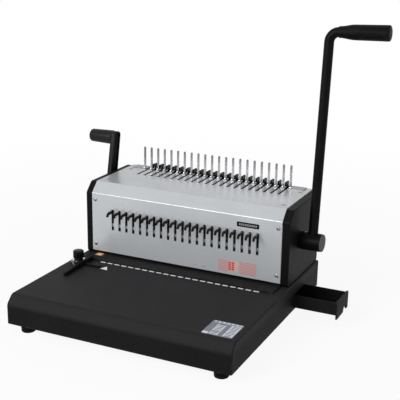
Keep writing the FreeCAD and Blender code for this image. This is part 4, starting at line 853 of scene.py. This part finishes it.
def flat_ink(name, colour, roughness=0.45, specular=0.5):
    """Printed ink: slightly uneven cover that lets a little of the ground's grain through."""
    material, shader, place = even_finish(name, colour, roughness, specular=specular)
    cover = noise(place, 1.2 * mm, detail=3.0).above(0.35, 0.4)
    thin = tuple(part * 0.82 for part in colour[:3]) + (1.0,)
    place.feed(shader, "Base Color", cover.blend(thin, colour))
    place.feed(shader, "Roughness", roughness + cover * 0.12)
    bump(shader, noise(place, 0.6 * mm, detail=1.0), 0.01 * mm)
    return material


def printed(name, spots, sizes, face, corner=8):
    """Flat marks with soft corners: each is a soft square scaled to its size, and laid on a face, which is
    given by its origin and its across, up and out directions."""
    origin, across, up, out = (np.asarray(part) for part in face)
    spots, sizes = np.atleast_2d(spots), np.atleast_2d(sizes)
    u, v = soft_square(corner)
    count = len(u)
    u = spots[:, :1] + sizes[:, :1] / 2 * u
    v = spots[:, 1:] + sizes[:, 1:] / 2 * v
    flat = origin + u[..., None] * across + v[..., None] * up
    points = np.stack([flat, flat + print_thick * out], axis=1).reshape(-1, 3)
    step = np.arange(count)
    walls = np.stack([step, (step + 1) % count, (step + 1) % count + count, step + count], axis=1)
    starts = np.arange(len(spots)) * 2 * count
    faces = (walls[None] + starts[:, None, None]).reshape(-1, 4).tolist()
    faces += (step[None] + starts[:, None]).tolist() + (step[None] + count + starts[:, None]).tolist()
    return joined(name, points, faces)


def over(face, layers):
    """The same face, raised by layers of print."""
    origin, across, up, out = face
    return tuple(np.add(origin, layers * print_thick * np.array(out))), across, up, out


white_ink = flat_ink("white_ink", tone(252, 252, 250))
table = ((mid_x, 0, table_top), (1, 0, 0), (0, 1, 0), (0, 0, 1))
front = ((mid_x, cover_low.y, 0), (1, 0, 0), (0, 0, 1), (0, -1, 0))
dash_x = np.arange(-10, 12) * hole_pitch        # one for each of the 21 holes, and one more at the right
dashes = printed("hole_dashes", [(x, dash_y) for x in dash_x], [dash_size] * len(dash_x), table)
keep(dashes, white_ink, "silver_paint", "frame")

pointer_foot = np.column_stack([pointer_corners + (mid_x, 0), np.full(3, table_top)])
pointer = joined(
    "edge_pointer", np.concatenate([pointer_foot, pointer_foot + (0, 0, print_thick)]),
    [(0, 1, 2), (3, 4, 5), (0, 1, 4, 3), (1, 2, 5, 4), (2, 0, 3, 5)])
keep(pointer, white_ink, "silver_paint", "frame")


# ---- table chart ---------------------------------------------------------------------------------
# A pale printed panel near the table's front right corner, with white blocks and rows of dark rules on
# it, in three layers of ink.

chart_spot = np.array([167.8, -156.5]) * mm
chart_size = (51.5 * mm, 51 * mm)
block_spots = np.array([(-6.5, 1.5), (-6.5, -18.5), (16.5, 3.5), (16.5, -17), (-20, -21), (0.5, 22)]) * mm
block_sizes = np.array([(14, 27), (14, 10), (15.5, 28), (15.5, 11), (9, 7), (46, 5)]) * mm
rule_columns = (-6.5 * mm, 16.5 * mm)
rule_rows = np.linspace(-21, 14, 8) * mm
rule_size = (11 * mm, 1.7 * mm)
heading_y = 22.0 * mm
heading_columns = np.linspace(-18, 19, 6) * mm
heading_size = (4.4 * mm, 1.8 * mm)

chart_ink = flat_ink("chart_ink", tone(126, 129, 142))
chart_white_ink = flat_ink("chart_white_ink", tone(232, 236, 246))
black_ink = flat_ink("black_ink", tone(14, 14, 15), 0.4, 0.08)
keep(printed("chart_panel", chart_spot, chart_size, table, corner=24), chart_ink, "silver_paint", "frame")
chart_blocks = printed("chart_blocks", chart_spot + block_spots, block_sizes, over(table, 1), corner=20)
keep(chart_blocks, chart_white_ink, "silver_paint", "frame")
rules = [(x, y) for x in rule_columns for y in rule_rows]
headings = [(x, heading_y) for x in heading_columns]
chart_rules = printed(
    "chart_rules", chart_spot + np.array(rules + headings),
    [rule_size] * len(rules) + [heading_size] * len(headings), over(table, 2))
keep(chart_rules, black_ink, "black_paint", "frame")


# ---- cover plate and notes -----------------------------------------------------------------------
# On the cover's front: a small dark plate with a row of grey blocks at the upper right, and below it a
# red-ruled note of two ruled fields with a pink panel of red marks between them.

plate_spot = np.array([124.4, 168.4]) * mm
plate_size = (41.4 * mm, 8.8 * mm)
plate_columns = np.linspace(-15.2, 15.2, 9) * mm
plate_block_size = (2.5 * mm, 3.6 * mm)
note_spot = (98.6 * mm, 89 * mm)
note_size = (19 * mm, 17.5 * mm)
mark_columns = (92.5 * mm, 98.8 * mm)
mark_rows = np.linspace(83, 95, 4) * mm
mark_size = (5.0 * mm, 2.9 * mm)


def ruled(name, x, wide, low, high, lines, thick):
    """Ruled lines on the cover's front, centred on x and spread evenly from low to high."""
    return printed(name, [(x, z) for z in np.linspace(low, high, lines)], [(wide, thick)] * lines, front)


grey_ink = flat_ink("grey_ink", tone(146, 148, 150))
keep(printed("front_plate", plate_spot, plate_size, front, corner=14), black_ink, "black_paint", "frame")
blocks = [plate_spot + (x, 0) for x in plate_columns]
plate_blocks = printed("front_plate_blocks", blocks, [plate_block_size] * len(blocks), over(front, 1))
keep(plate_blocks, grey_ink, "silver_paint", "frame")

red_ink = flat_ink("red_ink", tone(196, 60, 52))
pale_red_ink = flat_ink("pale_red_ink", tone(214, 128, 126))
pink_ink = flat_ink("pink_ink", tone(226, 176, 168))
right_rules = ruled(
    "note_rules", x=126.5 * mm, wide=32 * mm, low=78.5 * mm, high=99 * mm, lines=8, thick=1.5 * mm)
keep(right_rules, pale_red_ink, "silver_paint", "frame")
left_rules = ruled(
    "note_side", x=79.5 * mm, wide=19 * mm, low=79 * mm, high=97.5 * mm, lines=7, thick=1.4 * mm)
keep(left_rules, pale_red_ink, "silver_paint", "frame")
keep(printed("note_panel", note_spot, note_size, front, corner=14), pink_ink, "silver_paint", "frame")
marks = [(x, z) for x in mark_columns for z in mark_rows]
note_marks = printed("note_marks", marks, [mark_size] * len(marks), over(front, 1))
keep(note_marks, red_ink, "silver_paint", "frame")


# ---- side patch ----------------------------------------------------------------------------------
# A small printed patch on the die plate's left end: a dark red ground, a cream face on it, and a yellow
# band on the face's left.

patch_spot, patch_size = (-165.5 * mm, 32 * mm), (19.5 * mm, 15 * mm)
face_spot, face_size = (-167 * mm, 32.5 * mm), (12.5 * mm, 11.5 * mm)
band_spot, band_size = (-171.5 * mm, 32.5 * mm), (3.6 * mm, 11.5 * mm)

die = ((mid_x, 0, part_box("lower_die_plate")[1].z), *table[1:])
dark_red_ink = flat_ink("dark_red_ink", tone(96, 16, 8), 0.45, 0.1)
side_patch = printed("side_patch", patch_spot, patch_size, die, corner=20)
keep(side_patch, dark_red_ink, "silver_paint", "frame")
patch_face = printed("side_patch_face", face_spot, face_size, over(die, 1), corner=20)
keep(patch_face, flat_ink("cream_ink", tone(240, 206, 160)), "silver_paint", "frame")
patch_band = printed("side_patch_band", band_spot, band_size, over(die, 2), corner=20)
keep(patch_band, flat_ink("yellow_ink", tone(226, 184, 70)), "silver_paint", "frame")


# ---- floor, light and camera ---------------------------------------------------------------------
# A plain white floor and surround, with a large soft lamp in front and weak ones at the right and above.
# The camera looks down from in front and the right.

floor_half = 30.0
floor_near = 0.91               # how white the floor is under the machine, which leaves a faint shadow
white_from = 0.3                # distance from the middle where the floor starts to turn all white
white_over = 1.2                # and the length over which it does
surround_light = 0.32           # strength of the white surround as a light
lamp_target = (0, 0, 0.15)


def seen_white(tree, lit, share):
    """White at strength 1 for rays from the camera, mirrors and glass, in that share; the lit shader else."""
    start = Shade(tree)
    path = start.node("ShaderNodeLightPath", output="Is Camera Ray")
    seen = path.larger(path.part("Is Glossy Ray")).larger(path.part("Is Transmission Ray"))
    white = start.node("ShaderNodeEmission", inputs={"Color": (1, 1, 1, 1), "Strength": 1.0})
    return start.node("ShaderNodeMixShader", inputs={0: seen * share, 1: lit, 2: white})


floor = skin("floor", np.array([
    [(-floor_half, -floor_half, 0), (-floor_half, floor_half, 0)],
    [(floor_half, -floor_half, 0), (floor_half, floor_half, 0)],
]))
floor_white, floor_shader, floor_place = even_finish("floor_white", (0.82, 0.82, 0.82, 1), 0.9)
floor_tree = floor_white.node_tree
far = floor_place.node("ShaderNodeVectorMath", {"operation": "LENGTH"}, {0: floor_place}, "Value")
floor_share = far.above(white_from, white_over) * (1 - floor_near) + floor_near
floor_mixed = seen_white(floor_tree, Shade(floor_tree, floor_shader.outputs[0]), floor_share)
floor_tree.links.new(floor_mixed.socket, floor_tree.nodes["Material Output"].inputs["Surface"])
floor.data.materials.append(floor_white)

world = bpy.data.worlds.new("studio")
bpy.context.scene.world = world
world.use_nodes = True
world_tree = world.node_tree
ambient = world_tree.nodes["Background"]
ambient.inputs["Color"].default_value = (1, 1, 1, 1)
ambient.inputs["Strength"].default_value = surround_light
world_mixed = seen_white(world_tree, Shade(world_tree, ambient.outputs[0]), 1.0)
world_tree.links.new(world_mixed.socket, world_tree.nodes["World Output"].inputs["Surface"])


def aimed(position, target):
    """A matrix that stands at position and looks at target, level with the horizon."""
    back = np.asarray(position, float) - np.asarray(target, float)
    back /= np.linalg.norm(back)
    right = np.cross((0, 0, 1), back)
    right /= np.linalg.norm(right)
    up = np.cross(back, right)
    turn = np.eye(4)
    turn[:3, :4] = np.stack([right, up, back, position], axis=1)
    return Matrix(turn.tolist())


for name, position, size, power in (
    ("key_lamp", (-0.9, -2.1, 1.3), 1.4, 50),
    ("side_lamp", (1.9, -0.6, 1.1), 1.2, 4),
    ("top_lamp", (0.1, 0.3, 2.2), 1.6, 3),
):
    lamp = bpy.data.lights.new(name, "AREA")
    lamp.shape = "DISK"
    lamp.size = size
    lamp.energy = power
    holder = bpy.data.objects.new(name, lamp)
    holder.matrix_world = aimed(position, lamp_target)
    bpy.context.scene.collection.objects.link(holder)

camera_position = np.array([0.63649, -1.3111, 0.6498])
camera_target = np.array([0.24062, -0.4661, 0.36918])
camera_roll = math.radians(0.91)
picture_wide = 400
focal_pixels = 898.34
lens = bpy.data.cameras.new("camera")
lens.sensor_width = 36.0
lens.lens = lens.sensor_width * focal_pixels / picture_wide
camera = bpy.data.objects.new("camera", lens)
camera.matrix_world = aimed(camera_position, camera_target) @ Matrix.Rotation(camera_roll, 4, "Z")
bpy.context.scene.collection.objects.link(camera)
bpy.context.scene.camera = camera
bpy.context.scene.view_settings.view_transform = "Standard"
